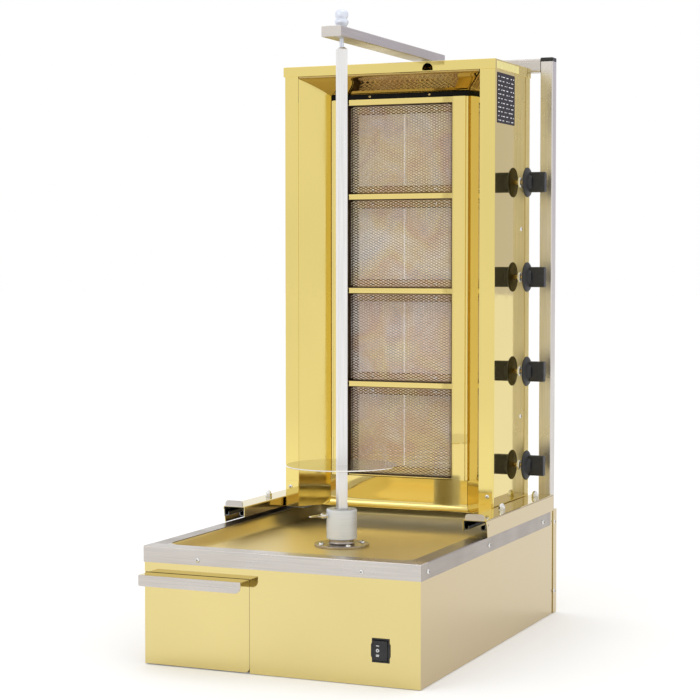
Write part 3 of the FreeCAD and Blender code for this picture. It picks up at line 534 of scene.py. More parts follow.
# ---------------------------------------------------------------- base
def rim_frame():
    """Brushed frame round the pan: front and side skirts with a rounded top bend, and the flange."""
    outer_x, front, rear = rim_high.x, rim_low.y, rim_high.y
    low, top = rim_low.z, rim_high.z

    def front_bar(work):
        path = [(front, low), (front, top), (PAN_FRONT, top)]
        outline = sheet_outline([(y, z) for y, z in reversed(path)], GAUGE, 2.2)
        add_prism(work, outline, "x", -outer_x + 0.3, outer_x - 0.3)

    def side_bar(sign):
        def build(work):
            path = [(outer_x, low), (outer_x, top), (PAN_HALF, top)]
            outline = sheet_outline(path, GAUGE, 2.2)
            add_prism(work, [(sign * p.x, p.y) for p in outline], "y", PAN_FRONT + 0.05, rear)
            skirt = [(outer_x - GAUGE, low), (outer_x, low), (outer_x, top - 1.2),
                    (outer_x - GAUGE, top - 0.3)]
            add_prism(work, [(sign * p[0], p[1]) for p in skirt], "y", front + 0.5, PAN_FRONT)
        return build

    def corner_web(sign):
        """The flange's inner corner, rounded with the pan's radius."""
        def build(work):
            arc = [(sign * (PAN_HALF - PAN_CORNER * (1 - math.cos(a))),
                    PAN_FRONT + PAN_CORNER * (1 - math.sin(a)))
                   for a in (math.radians(9 * k) for k in range(11))]
            outline = arc + [(sign * (PAN_HALF + 3), PAN_FRONT - 3)]
            add_prism(work, outline, "z", top - GAUGE, top - 0.05)
        return build

    show("rim_front", front_bar, steel_x, "base", "rim")
    for name, sign in SIDES:
        # the side bars take the darker steel, a painted shade
        show("rim_" + name, side_bar(sign), steel_painted_shade, "base")
        show("rim_corner_" + name, corner_web(sign), steel_x, "base")


def pan_ring(inset, z, radius, steps=7):
    """A rounded rectangle inside the rim's opening."""
    x, front, rear = PAN_HALF - inset, PAN_FRONT + inset, PAN_REAR - inset
    outline = rounded_corners(rectangle(-x, front, x, rear), radius, steps)
    return [Vector((p[0], p[1], z)) for p in outline]


def drip_pan():
    """Sunk pan whose sides sweep down in a soft curve to a flat floor."""
    depth = PAN_TOP - PAN_FLOOR
    profile = [(-9.0, 0.0, 30.0), (0.0, 0.0, PAN_CORNER), (1.2, 0.6, PAN_CORNER)]     # inset, drop, radius
    for k in range(1, 9):
        t = k / 8
        sweep = math.sin(t * math.pi / 2) ** 1.15
        profile.append((1.2 + PAN_SWEEP * t, 0.6 + (depth - 0.6) * sweep, PAN_CORNER + 8.0 * t))
    profile += [(26.0, depth, 32.0), (40.0, depth, 34.0)]

    def build(work):
        rings = [[work.verts.new(v) for v in pan_ring(inset, PAN_TOP - drop, radius)] for inset, drop,
                radius in profile]
        for first, second in zip(rings, rings[1:]):
            bridge(work, first, second)
        work.faces.new(rings[-1])
    show("pan", build, gold_pan, "base", "drip_pan", smooth_degrees=50)


def drawer_face():
    """Drawer front: flat gold sheet, top bent out as a grip, with a bare steel lip."""
    left, right, low, top = drawer_low.x, drawer_high.x, drawer_low.z, drawer_high.z
    lip_y, inset, drop = drawer_low.y, 6.0, 18.0

    def plate(work):
        outline = rounded_corners(rectangle(left, low, right, top - 0.6), [0.6, 8.0, 3, 0])
        add_prism(work, outline, "y", FRONT_Y, FRONT_Y + GAUGE, 0.4)

    def shelf(work):
        add_prism(work, rectangle(lip_y + 1.0, top - GAUGE, FRONT_Y + 0.6, top), "x", left + inset, right,
                0.2, 1)

    def lip(work):
        outline = rounded_corners(rectangle(left + inset, top - drop, right, top), [2.0, 9.5, 0.4, 0.4])
        add_prism(work, outline, "y", lip_y, lip_y + GAUGE, 0.45)
    show("drawer_plate", plate, gold, "drawer", "drawer_front")
    show("drawer_shelf", shelf, gold, "drawer")
    show("drawer_lip", lip, steel_x, "drawer")


def dome_screw(work, centre, direction, radius=4.0, height=2.4):
    """A domed head with a cross recess, its flat side at centre."""
    turn = Vector((0, 0, 1)).rotation_difference(Vector(direction)).to_matrix().to_4x4()
    spot = Matrix.Translation(Vector(centre)) @ turn
    scratch = bmesh.new()
    rise = [(radius, 0.0)] + [(radius * math.cos(a), height * math.sin(a)) for a in
            (math.radians(15 * k) for k in range(1, 5))] + [(0.0, height)]
    add_lathe(scratch, rise, "z", (0, 0, 0), 24)
    # the cross recess faces take the piece's second material, a near-black painted shadow
    for angle in (0.0, math.pi / 2):
        groove = bmesh.new()
        add_block(groove, (-radius * 0.52, -0.35, height - 0.5), (radius * 0.52, 0.35, height + 0.12), 0.1, 1)
        bmesh.ops.transform(groove, matrix=Matrix.Rotation(angle + 0.4, 4, "Z"), verts=groove.verts)
        join(scratch, groove, dark=True)
    bmesh.ops.transform(scratch, matrix=spot, verts=scratch.verts)
    join(work, scratch)


def join(work, other, dark=False):
    """Add one bmesh to another and free it; dark faces take the piece's second material."""
    copies = {v: work.verts.new(v.co) for v in other.verts}
    for face in other.faces:
        made = work.faces.new([copies[v] for v in face.verts])
        made.material_index = 1 if dark else face.material_index
    other.free()


def screw_set(name, spots, body, replaced=(), radius=4.0, height=2.4):
    def build(work):
        for centre, direction in spots:
            dome_screw(work, centre, direction, radius, height)
    show(name, build, [bright, track_shadow], body, replaced, smooth_degrees=40)


def base_screws():
    spots = [((x, rim_low.y, RIM_TOP - 18), (0, -1, 0)) for x in FRONT_SCREWS_X]
    for sign in (-1, 1):
        side = sign * rim_high.x
        spots += [((side, y, RIM_TOP - 15), (sign, 0, 0)) for y in SIDE_SCREWS_Y]
        spots += [((side, REAR_SCREWS_Y, z), (sign, 0, 0)) for z in REAR_SCREWS_Z]
    screw_set("rim_screws", spots, "base", "base_screws")
    turns = [BAR_TURN + k * math.pi / 2 for k in range(4)]
    ring = [(HUB_BOLT_CIRCLE * math.cos(a), SPIT_Y + HUB_BOLT_CIRCLE * math.sin(a),
            PAN_FLOOR + 4.0) for a in turns]
    screw_set("hub_screws", [(spot, (0, 0, 1)) for spot in ring], "base", (), 4.6, 3.4)


def switch():
    """Framed rocker with three plain marks: a bar, a ring and two bars."""
    low, high = node_box("switch_housing")
    x, z = (low.x + high.x) / 2, (low.z + high.z) / 2
    half_x, half_z, front = (high.x - low.x) / 2, (high.z - low.z) / 2, low.y

    def frame_ring(work):
        side = [(half_x - 1.6, -half_z), (half_x - 1.6, -half_z + 7), (half_x, -half_z + 10),
                (half_x, half_z - 10), (half_x - 1.6, half_z - 7), (half_x - 1.6, half_z)]
        loop = side + [(-px, pz) for px, pz in reversed(side)]
        inner = rounded_corners(rectangle(-12.6, -16.8, 12.6, 16.8), 1.2, 3)
        outer_front = [work.verts.new((x + px * 0.985, front, z + pz * 0.985)) for px, pz in loop]
        outer_back = [work.verts.new((x + px, front + 2, z + pz)) for px, pz in loop]
        inner_front = [work.verts.new((x + p[0], front + 0.3, z + p[1])) for p in inner]
        inner_back = [work.verts.new((x + p[0], front + 9, z + p[1])) for p in inner]
        close_ring(work, outer_front)
        bridge(work, outer_front, outer_back)
        bridge(work, inner_front, inner_back)
        work.faces.new(inner_back)
        edges = loop_edges(work, outer_front) + loop_edges(work, inner_front)
        bmesh.ops.bridge_loops(work, edges=edges)
    show("switch_frame", frame_ring, plastic, "base", "switch_housing")

    def rocker(work):
        reach = 15.5
        face = [(front + 6, z - reach + 2), (front - 1.3, z - reach), (front - 1.6, z - reach + 0.9),
                (front - 0.6, z - 7), (front - 0.25, z), (front - 0.6, z + 7), (front - 1.6, z + reach - 0.9),
                (front - 1.3, z + reach), (front + 6, z + reach - 2)]
        add_prism(work, [(y, h) for y, h in face], "x", x - 11.9, x + 11.9, 0.7, 3)
    show("rocker", rocker, plastic, "rocker", "switch_rocker", smooth_degrees=50)

    def marks(work):
        left = x - 4.5
        def stroke(cz, width, height, y):
            add_block(work, (left - width / 2, y - 0.12, cz - height / 2),
                    (left + width / 2, y + 0.2, cz + height / 2), 0.05, 1)
        stroke(z + 7.4, 5.0, 1.1, front - 0.72)
        for offset in (-7.0, -9.0):
            stroke(z + offset, 5.0, 1.1, front - 0.78)
        add_lathe(work, [(1.5, -0.12), (2.6, -0.12), (2.6, 0.2), (1.5, 0.2), (1.5, -0.12)], "y",
                (left, front - 0.3, z), 28)
    show("switch_marks", marks, white_ink, "rocker")


def bridge(work, first, second):
    for k in range(len(first)):
        j = (k + 1) % len(first)
        work.faces.new((first[k], first[j], second[j], second[k]))


def close_ring(work, verts):
    for k, vert in enumerate(verts):
        other = verts[(k + 1) % len(verts)]
        if work.edges.get((vert, other)) is None:
            work.edges.new((vert, other))


def loop_edges(work, verts):
    close_ring(work, verts)
    return [work.edges.get((verts[k], verts[(k + 1) % len(verts)])) for k in range(len(verts))]


# ---------------------------------------------------------------- rails and mast
def rails():
    """Gold rail covers with a black lipped channel inside, end tabs and acorn nuts."""
    for name, sign in SIDES:
        low, high = node_box("rail_" + name)
        outer, inner = max(abs(low.x), abs(high.x)), min(abs(low.x), abs(high.x))
        top, foot, front, rear = high.z, low.z, low.y, high.y

        def flipped(points):
            return [(sign * p[0], p[1]) for p in points]

        def cover(work):
            path = [(outer, foot), (outer, top), (inner, top), (inner, 205.2)]
            add_prism(work, flipped(sheet_outline(path, GAUGE, 2.4)), "y", front + 6.5, rear, 0.15, 1)
            head = [(outer, top - 6), (outer, top), (inner, top), (inner, 205.2)]
            add_prism(work, flipped(sheet_outline(head, GAUGE, 2.4)), "y", front, front + 6.5, 0.15, 1)
            slope = [(front + 1.5, top - 6), (front + 6.5, top - 6), (front + 6.5, foot), (front + 6.3, foot)]
            add_prism(work, slope, "x", *sorted((sign * outer, sign * (outer - GAUGE))))

        def channel(work):
            for edge, way in ((outer - GAUGE - 0.1, -1), (inner + GAUGE + 0.1, 1)):
                path = [(edge, top - 3), (edge, 206.2), (edge + way * 9.5, 206.2), (edge + way * 9.5, 213.5)]
                if way < 0:
                    path.reverse()
                add_prism(work, flipped(sheet_outline(path, 1.4, 3.6)), "y", front + 0.8, rear - 1, 0.3)

        # painted shadow: near-black sheets under the channel's top and along its inner faces
        def liner(work):
            outline = rectangle(inner + GAUGE + 0.2, top - 2.6, outer - GAUGE - 0.2, top - GAUGE - 0.1)
            add_prism(work, flipped(outline), "y", front + 1.5, rear - 1)
            for a, b in ((outer - GAUGE - 0.5, outer - GAUGE - 0.05),
                    (inner + GAUGE + 0.05, inner + GAUGE + 0.5)):
                add_prism(work, flipped(rectangle(a, 205.3, b, top - 2)), "y", front + 1.5, rear - 1)
        show("rail_liner_" + name, liner, track_shadow, "base")

        # painted shadow: a thin near-black disc stands for the shade inside the bolt hole
        def bolt_hole(work):
            hole = Vector((sign * (outer + 0.02), front + 10, top - 9))
            add_lathe(work, rectangle(0, -0.02, 1.5, 0.03), "x", hole, 16)
        show("rail_hole_" + name, bolt_hole, track_shadow, "base")
        show("rail_cover_" + name, cover, gold, "base", "rail_" + name)
        show("rail_channel_" + name, channel, track_steel, "base")

    stops_low, stops_high = node_box("rail_stops")

    def tabs(work):
        for sign in (-1, 1):
            middle = sign * RAIL_MIDDLE
            outline = rounded_corners(rectangle(middle - 17, stops_low.z - 1, middle + 17, stops_high.z),
                    [0, 0, 5.5, 5.5])
            add_prism(work, outline, "y", stops_low.y - 0.2, stops_high.y, 0.35)
    show("rail_tabs", tabs, steel_x, "base", "rail_stops")

    nuts_low, nuts_high = node_box("rail_nuts")
    base, tall = nuts_low.z, nuts_high.z - nuts_low.z

    def acorns(work):
        for sign in (-1, 1):
            for y in (nuts_low.y + 6.5, nuts_high.y - 6.5):
                centre = (sign * RAIL_MIDDLE, y, base)
                add_lathe(work, eased(rectangle(0, 0, 6.4, 1.2), 0.3), "z", centre, 32)
                hexagon = [(0.0, 1.2), (5.2, 1.2), (5.75, 1.7), (5.75, tall * 0.48), (5.2, tall * 0.52),
                        (0, tall * 0.52)]
                add_lathe(work, hexagon, "z", centre, 6, 0.3)
                rise = [(4.9 * math.cos(a), tall * 0.5 + (tall * 0.5) * math.sin(a))
                        for a in (math.radians(10 * k) for k in range(9))] + [(0.0, tall)]
                add_lathe(work, rise, "z", centre, 32)
    show("acorn_nuts", acorns, bright, "base", "rail_nuts", smooth_degrees=30)


def hollow_bar(work, low, high, axis, wall, radius):
    """A square tube, open at both ends, with rounded corners."""
    across, up, depth = AXES[axis]
    a0, a1, b0, b1 = low[across], high[across], low[up], high[up]
    outer = rounded_corners(rectangle(a0, b0, a1, b1), radius, 4)
    inner = rounded_corners(rectangle(a0 + wall, b0 + wall, a1 - wall, b1 - wall),
            max(0.4, radius - wall * 0.6), 4)
    ends = []
    for distance in (low[depth], high[depth]):
        ends.append(([work.verts.new(lift(p, axis, distance)) for p in outer],
                [work.verts.new(lift(p, axis, distance)) for p in inner]))
    bridge(work, ends[0][0], ends[1][0])
    bridge(work, ends[1][1], ends[0][1])
    bridge(work, ends[0][1], ends[0][0])
    bridge(work, ends[1][0], ends[1][1])


def mast():
    """Post and crossbar as open tubes, the arm as a closed bar, and the plug on the post."""
    for name, axis, material in (("post", "z", steel_z), ("rear_crossbar", "x", steel_x),
            ("top_arm", "y", steel_y)):
        low, high = node_box(name)

        def build(work):
            if name == "top_arm":
                outline = rounded_corners(rectangle(low.x, low.z, high.x, high.z), 1.6, 4)
                add_prism(work, outline, axis, low.y, high.y, 0.7)
            else:
                hollow_bar(work, low, high, axis, 2.0, 2.2)
        show(name + "_tube", build, material, "base", name, smooth_degrees=40)
    low, high = node_box("post_cap")

    def cap(work):
        add_block(work, low, high, 1.6, 3)
    show("post_plug", cap, plastic, "base", "post_cap")


# ---------------------------------------------------------------- spit
def spit():
    half = 8.0
    turn = Matrix.Rotation(BAR_TURN, 4, "Z")

    def bar(work):
        scratch = bmesh.new()
        add_block(scratch, (-half, -half, bar_low.z), (half, half, bar_high.z))
        top = [v for v in scratch.verts if v.co.z > bar_high.z - 1]
        bmesh.ops.bevel(scratch, geom=[e for e in scratch.edges if all(v in top for v in e.verts)],
                offset=4.2, segments=1, affect="EDGES")
        upright = [e for e in scratch.edges if abs(e.verts[0].co.z - e.verts[1].co.z) > 100]
        soften(scratch, 0.8, 2, upright)
        bmesh.ops.transform(scratch, matrix=Matrix.Translation((0, SPIT_Y, 0)) @ turn, verts=scratch.verts)
        join(work, scratch)
    show("square_bar", bar, spit_steel, "spit", "spit_bar")

    def disc(work):
        r, low, high = disc_high.x, disc_low.z, disc_high.z
        outline = [(0, low), (r - 0.5, low), (r, low + 0.5), (r, high - 0.5), (r - 0.5, high), (0, high)]
        add_lathe(work, outline, "z", (0, SPIT_Y, 0), 160)
    show("disc", disc, polished, "spit", "meat_disc")

    def collar(work):
        r, low, high = collar_high.x, collar_low.z, collar_high.z
        body = eased([(13.0, low + 0.2), (r - 1.0, low), (r, low + 1.0), (r, high - 1.6), (r - 1.6, high),
                (13.5, high), (12.2, high - 1.2), (12.2, high - 8)], 0.8)
        add_lathe(work, body, "z", (0, SPIT_Y, 0), 96)
    show("collar", collar, aluminium, "spit", "drive_collar")

    def hub(work):
        r, low = hub_high.x, hub_low.z
        body = eased([(14, low), (r - 0.4, low), (r, low + 0.5), (r, low + 3.4), (r - 0.5, low + 4.0),
                (25.5, low + 4.0), (22.0, low + 5.2), (21.0, low + 8.0), (21.0, hub_high.z),
                (14, hub_high.z)], 0.7)
        add_lathe(work, body, "z", (0, SPIT_Y, 0), 96)
    show("hub", hub, hub_steel, "base", "hub_flange")

    def wing(work):
        """Hand screw: threaded shank, neck, and a wing that flares and droops a little."""
        scratch = bmesh.new()
        thread = [(0.0, 9.0)]
        for k in range(16):
            thread += [(3.4, 9.5 + k * 1.25), (3.95, 10.1 + k * 1.25)]
        thread += [(3.6, 29.5), (5.2, 30.0), (5.4, 33.0), (4.4, 35.5), (3.0, 37.5), (0.0, 38.0)]
        add_lathe(scratch, thread, "x", (0, 0, 0), 24)
        rows = []
        for k in range(10):
            t = k / 9
            x = 31.0 + 25.5 * t
            wide = 3.4 + 2.6 * math.sin(t * math.pi * 0.62)
            thick = 2.9 - 1.7 * t
            rows.append([Vector((x, wide * math.cos(a), -1.2 * t * t + thick * math.sin(a)))
                    for a in (math.radians(22.5 * n) for n in range(16))])
        rings = [[scratch.verts.new(p) for p in row] for row in rows]
        for first, second in zip(rings, rings[1:]):
            bridge(scratch, first, second)
        scratch.faces.new(rings[0])
        tip = scratch.verts.new(Vector((57.6, 0, -1.3)))
        for k in range(16):
            scratch.faces.new((rings[-1][k], rings[-1][(k + 1) % 16], tip))
        spot = Matrix.Translation((0, SPIT_Y, SHAFT_SCREW_Z)) @ Matrix.Rotation(BAR_TURN + math.pi, 4, "Z")
        bmesh.ops.transform(scratch, matrix=spot, verts=scratch.verts)
        join(work, scratch)
    show("hand_screw", wing, bright, "wing", "wing_screw", smooth_degrees=50)

    low, high = node_box("top_knob")

    def knob(work):
        bottom, tall, r = high.z - 31.0, 31.0, high.x
        body = [(0, low.z + 0.3), (2.2, low.z), (3.5, low.z + 1.6), (3.5, bottom), (7.6, bottom),
                (9.6, bottom + 0.16 * tall), (r, bottom + 0.3 * tall), (r - 0.5, bottom + 0.4 * tall),
                (8.6, bottom + 0.5 * tall), (10.4, bottom + 0.58 * tall), (11.4, bottom + 0.68 * tall),
                (11.0, bottom + 0.84 * tall), (8.4, bottom + 0.95 * tall), (3.5, high.z), (0, high.z)]
        add_lathe(work, eased(body, 1.2), "z", (0, SPIT_Y, 0), 64)
    show("locating_knob", knob, aluminium, "top_pin", "top_knob", smooth_degrees=50)


# ---------------------------------------------------------------- tower
def tower_skins():
    """Folded side panels, their foot plates, and the CAD sheets that are shown with softened edges."""
    soften_cad("tower_cap", 0.55)
    for name in ("inner_wall_left", "inner_wall_right", "tower_rear", "tower_floor", "base_floor",
            "rear_cover"):
        soften_cad(name, 0.3)
    side_low, side_high = node_box("tower_side_right")
    high_x, front = side_high.x, side_low.y
    for name, sign in SIDES:
        def skin(work):
            path = [(side_low.x, front), (high_x, front), (high_x, side_high.y)]
            outline = [(sign * p.x, p.y) for p in sheet_outline(path, GAUGE, 3.2, 6)]
            add_prism(work, outline, "z", side_low.z, side_high.z, 0.15, 1)
        show("tower_skin_" + name, skin, gold_tower, "tower", "tower_side_" + name)

    def foot_plates(work):
        for sign in (-1, 1):
            a, b = sorted((sign * (side_low.x + 0.6), sign * (high_x - 3.4)))
            add_prism(work, rectangle(a, 207, b, 253.2), "y", front - 0.7, front - 0.05, 0.2, 1)
    show("foot_plates", foot_plates, gold_tower, "tower")


def curved_strip(name, path, thickness, low_x, high_x, material, node):
    """A sheet bent along a (y, z) path, wide enough to meet the splayed walls on both sides."""
    def half_at(y):
        share = (y - throat_low.y) / (throat_high.y - throat_low.y)
        return high_x + (low_x - high_x) * share

    def build(work):
        rows = []
        for k, (y, z) in enumerate(path):
            ahead = Vector(path[min(k + 1, len(path) - 1)]) - Vector(path[max(k - 1, 0)])
            normal = Vector((ahead.y, -ahead.x)).normalized() * thickness
            for dy, dz in ((0, 0), (normal.x, normal.y)):
                half = half_at(min(max(y, throat_low.y), throat_high.y))
                rows.append([work.verts.new((x * half, y + dy, z + dz)) for x in (-1, -0.5, 0, 0.5, 1)])
        for k in range(0, len(rows) - 2, 2):
            for i in range(4):
                work.faces.new((rows[k][i], rows[k][i + 1], rows[k + 2][i + 1], rows[k + 2][i]))
                work.faces.new((rows[k + 1][i], rows[k + 3][i], rows[k + 3][i + 1], rows[k + 1][i + 1]))
            for i in (0, 4):
                work.faces.new((rows[k][i], rows[k + 2][i], rows[k + 3][i], rows[k + 1][i]))
        for first, second in ((rows[0], rows[1]), (rows[-2], rows[-1])):
            for i in range(4):
                work.faces.new((first[i], first[i + 1], second[i + 1], second[i]))
    show(name, build, material, "tower", node, smooth_degrees=60)


def smooth_path(points, steps=6):
    """A smooth curve through the given points."""
    padded = [points[0]] + list(points) + [points[-1]]
    result = []
    for a, b, c, d in zip(padded, padded[1:], padded[2:], padded[3:]):
        a, b, c, d = Vector(a), Vector(b), Vector(c), Vector(d)
        for k in range(steps):
            t = k / steps
            result.append(0.5 * (2 * b + (c - a) * t + (2 * a - 5 * b + 4 * c - d) * t * t
                    + (3 * b - a - 3 * c + d) * t ** 3))
    result.append(Vector(points[-1]))
    return [(p.x, p.y) for p in result]


def tower_inside():
    """Curved ceiling and floor mirrors, the burner frame with its bars, and two upright strips."""
    ceiling_low, ceiling_high = node_box("ceiling_deflector")
    top = ceiling_high.z
    ceiling = smooth_path([(ceiling_low.y + 0.2, top + 2.6), (ceiling_low.y + 0.5, top - 0.4),
            (120, top - 6.5), (134, top - 13.6), (147, top - 20.8), (throat_high.y - 0.6, top - 28.0)])
    curved_strip("ceiling_mirror", ceiling, 1.0, THROAT, 173.2, gold_smoked, "ceiling_deflector")
    shield_low = node_box("floor_shield")[0]
    bottom = shield_low.z
    floor = smooth_path([(shield_low.y + 0.3, bottom + 0.9), (149, bottom + 1.0), (153.5, bottom + 2.6),
            (156.8, bottom + 6.5), (158.1, bottom + 12), (158.1, bottom + 32), (157.7, bottom + 55.5)])
    curved_strip("floor_mirror", floor, 0.9, THROAT, 173.2, gold_inner, "floor_shield")

    face, back = frame_low.y, frame_high.y
    half, window = frame_high.x, 103.5

    def frame_bars(work):
        """Two uprights, cross bars between the windows, all one folded gold frame."""
        for sign in (-1, 1):
            a, b = sorted((sign * window, sign * (half - 0.3)))
            add_prism(work, rectangle(a, frame_low.z, b, frame_high.z), "y", face + 0.1, back, 0.3, 1)
        edges = [frame_low.z] + [BURNER_FIRST + BURNER_PITCH * k + side * 81 for k in range(BURNERS)
                for side in (-1, 1)] + [frame_high.z]
        edges[0] = edges[1] - 1.7
        for low, high in zip(edges[::2], edges[1::2]):
            add_prism(work, rectangle(-98, low, window, high), "y", face - 0.5, back + 0.2, 0.35)
            add_prism(work, rectangle(-98, low, window, low + 1.2), "y", back + 0.2, back + 8, 0.2, 1)
            add_prism(work, rectangle(-98, high - 1.2, window, high), "y", back + 0.2, back + 8, 0.2, 1)
    show("burner_bars", frame_bars, gold_inner, "tower", "burner_frame")

    def strips(work):
        for sign in (-1, 1):
            for low, high, front, drop in ((frame_low.z, STRIP_JOINT + 0.5, face - 1.9, 4.0),
                    (STRIP_JOINT - 0.5, frame_high.z, face - 2.6, 0)):
                a, b = sorted((sign * 104, sign * 128.5))
                outline = rounded_corners(rectangle(a, low, b, high), [drop, drop, 0.4, 0.4])
                add_prism(work, outline, "y", front, front + 0.8, 0.3)
            a, b = sorted((sign * 128.0, sign * 129.0))
            add_prism(work, rectangle(a, frame_low.z + 5, b, frame_high.z), "y", face - 1.9, face, 0.1, 1)
    show("upright_strips", strips, gold_inner, "tower")

    # painted shade: the sheets round each plaque are dark to stand for their shadow behind the screen
    def trays(work):
        for k in range(BURNERS):
            middle = BURNER_FIRST + BURNER_PITCH * k
            for low, high in ((middle - 80, middle - 66.6), (middle + 66.6, middle + 80)):
                add_prism(work, rectangle(-93, low, 100.5, high), "y", 185.8, 187.2, 0.2, 1)
            add_prism(work, rectangle(92.6, middle - 66.6, 100.5, middle + 66.6), "y", 185.8, 187.2, 0.2, 1)
    show("tile_surrounds", trays, painted_shade_gold, "tower")

    def clips(work):
        for k in range(BURNERS):
            for x in (-62, 62):
                for z in (-73, 73):
                    dome_screw(work, (x, 185.8, BURNER_FIRST + BURNER_PITCH * k + z), (0, -1, 0), 3.0, 1.8)
    show("clip_screws", clips, [bright, track_shadow], "tower")

    def bar_screws(work):
        for x in FLUE_SCREWS_X:
            dome_screw(work, (x, throat_high.y + 2.4, 955.5), (0, -1, 0), 2.6, 1.6)
    show("flue_screws", bar_screws, [brass, flue_painted_shadow], "tower")

    # painted shadow: a near-black strip across the flue, where there is shade
    def shadow_bar(work):
        add_prism(work, rectangle(-132.8, FLUE_LOW, 132.8, FLUE_HIGH), "y", throat_high.y + 2.4,
                throat_high.y + 3.4, 0.2, 1)
    show("flue_bar", shadow_bar, flue_painted_shadow, "tower")


def burner_tiles():
    """Two plaques for each burner, with soft edges and a bright joint between them."""
    low, high = node_box("ceramic_tiles")

    def build(work):
        for k in range(BURNERS):
            middle = BURNER_FIRST + BURNER_PITCH * k
            for a, b in ((low.x, -0.9), (0.9, high.x)):
                add_block(work, (a, low.y, middle - 66), (b, high.y, middle + 66), 1.1, 2)
    show("plaques", build, ceramic, "tower", "ceramic_tiles")

    def joints(work):
        for k in range(BURNERS):
            middle = BURNER_FIRST + BURNER_PITCH * k
            add_block(work, (-1.6, low.y - 0.9, middle - 65), (1.6, low.y - 0.02, middle + 65), 0.25, 1)
            for z in (-66.3, 65.5):
                add_block(work, (low.x, low.y - 1.6, middle + z), (high.x, low.y + 1, middle + z + 0.8), 0.2,
                        1)
            for x in (low.x - 0.5, high.x - 0.3):
                add_block(work, (x, low.y - 1.6, middle - 65.4), (x + 0.8, low.y + 1, middle + 65.4), 0.2, 1)
    show("plaque_joints", joints, bright, "tower")


def expanded_screen(index):
    """Expanded metal: rows of lens-shaped openings between strands that lean a little."""
    long_way, short_way, knuckle = 9.9, 4.82, 0.55
    middle = BURNER_FIRST + BURNER_PITCH * index
    front, thick = screens_low.y + 0.02, 0.5
    cell = [(long_way / 2, knuckle), (0.0, short_way / 2 - knuckle), (-long_way / 2, knuckle),
            (-long_way / 2, -knuckle), (0.0, knuckle - short_way / 2), (long_way / 2, -knuckle)]
    hole = [(3.95, 0.42), (0.0, 1.52), (-3.95, 0.42), (-3.95, -0.42), (0.0, -1.52), (3.95, -0.42)]
    corners = {}

    def corner(work, x, z, y):
        key = (round(x * 50), round(z * 50), round(y * 50))
        if key not in corners:
            corners[key] = work.verts.new((x, y, middle + z))
        return corners[key]

    def build(work):
        rows = int(78.0 / (short_way / 2))
        for row in range(-rows, rows + 1):
            shift = long_way / 2 if row % 2 else 0.0
            for column in range(-11, 12):
                x, z = column * long_way + shift, row * short_way / 2
                if abs(x) > 96.8:
                    continue
                outer = [(x + px, z + pz, 0.0) for px, pz in cell]
                inner = [(x + px, z + pz, 0.04 if pz > 0 else 0.3) for px, pz in hole]
                rings = [[corner(work, px, pz, front + lean + drop) for px, pz, lean in ring] for ring,
                        drop in ((outer, 0.0), (inner, 0.0), (inner, thick), (outer, thick))]
                for a, b in zip(rings, rings[1:]):
                    bridge(work, a, b)
    show("screen_%d" % (index + 1), build, screen_metal, "tower", "burner_screens", smooth_degrees=25)


def tower_fittings():
    """Panel screws, rating plate and the yellow strip on the cap."""
    side_x, front = node_box("tower_side_right")[1].x, node_box("tower_side_right")[0].y
    spots = [((sign * PANEL_SCREW_X, front - 0.7, PANEL_SCREW_Z), (0, -1, 0)) for sign in (-1, 1)]
    spots += [((sign * side_x, SIDE_SCREW_Y, z), (sign, 0, 0)) for sign in (-1, 1) for z in SIDE_SCREWS_Z]
    screw_set("panel_screws", spots, "tower", "tower_screws")

    def plate(work):
        outline = rounded_corners(rectangle(*PLATE_LOW, *PLATE_HIGH), 1.5)
        add_prism(work, outline, "x", side_x, side_x + 0.6, 0.12, 1)
    show("data_plate", plate, plate_ink, "tower", "rating_plates")

    def rows(work):
        """Short plain dashes stand in for the printed rows."""
        for row in range(11):
            y, z, k = PLATE_LOW[0] + 4.0, PLATE_LOW[1] + 4 + row * 7.6, row
            while y < PLATE_HIGH[0] - 6:
                length = 3.0 + (k * 7 + row * 5) % 9
                end = min(y + length, PLATE_HIGH[0] - 4.0)
                add_block(work, (side_x + 0.6, y, z), (side_x + 0.66, end, z + 1.5))
                y += length + 3.0 + (k * 5 + row * 3) % 12
                k += 1
    show("data_rows", rows, white_ink, "tower")

    def strip(work):
        outline = rounded_corners(rectangle(*FILM_LOW, *FILM_HIGH), 0.8)
        add_prism(work, outline, "x", cap_high.x, cap_high.x + 0.4, 0.1, 1)
    show("caution_strip", strip, yellow_film, "tower")


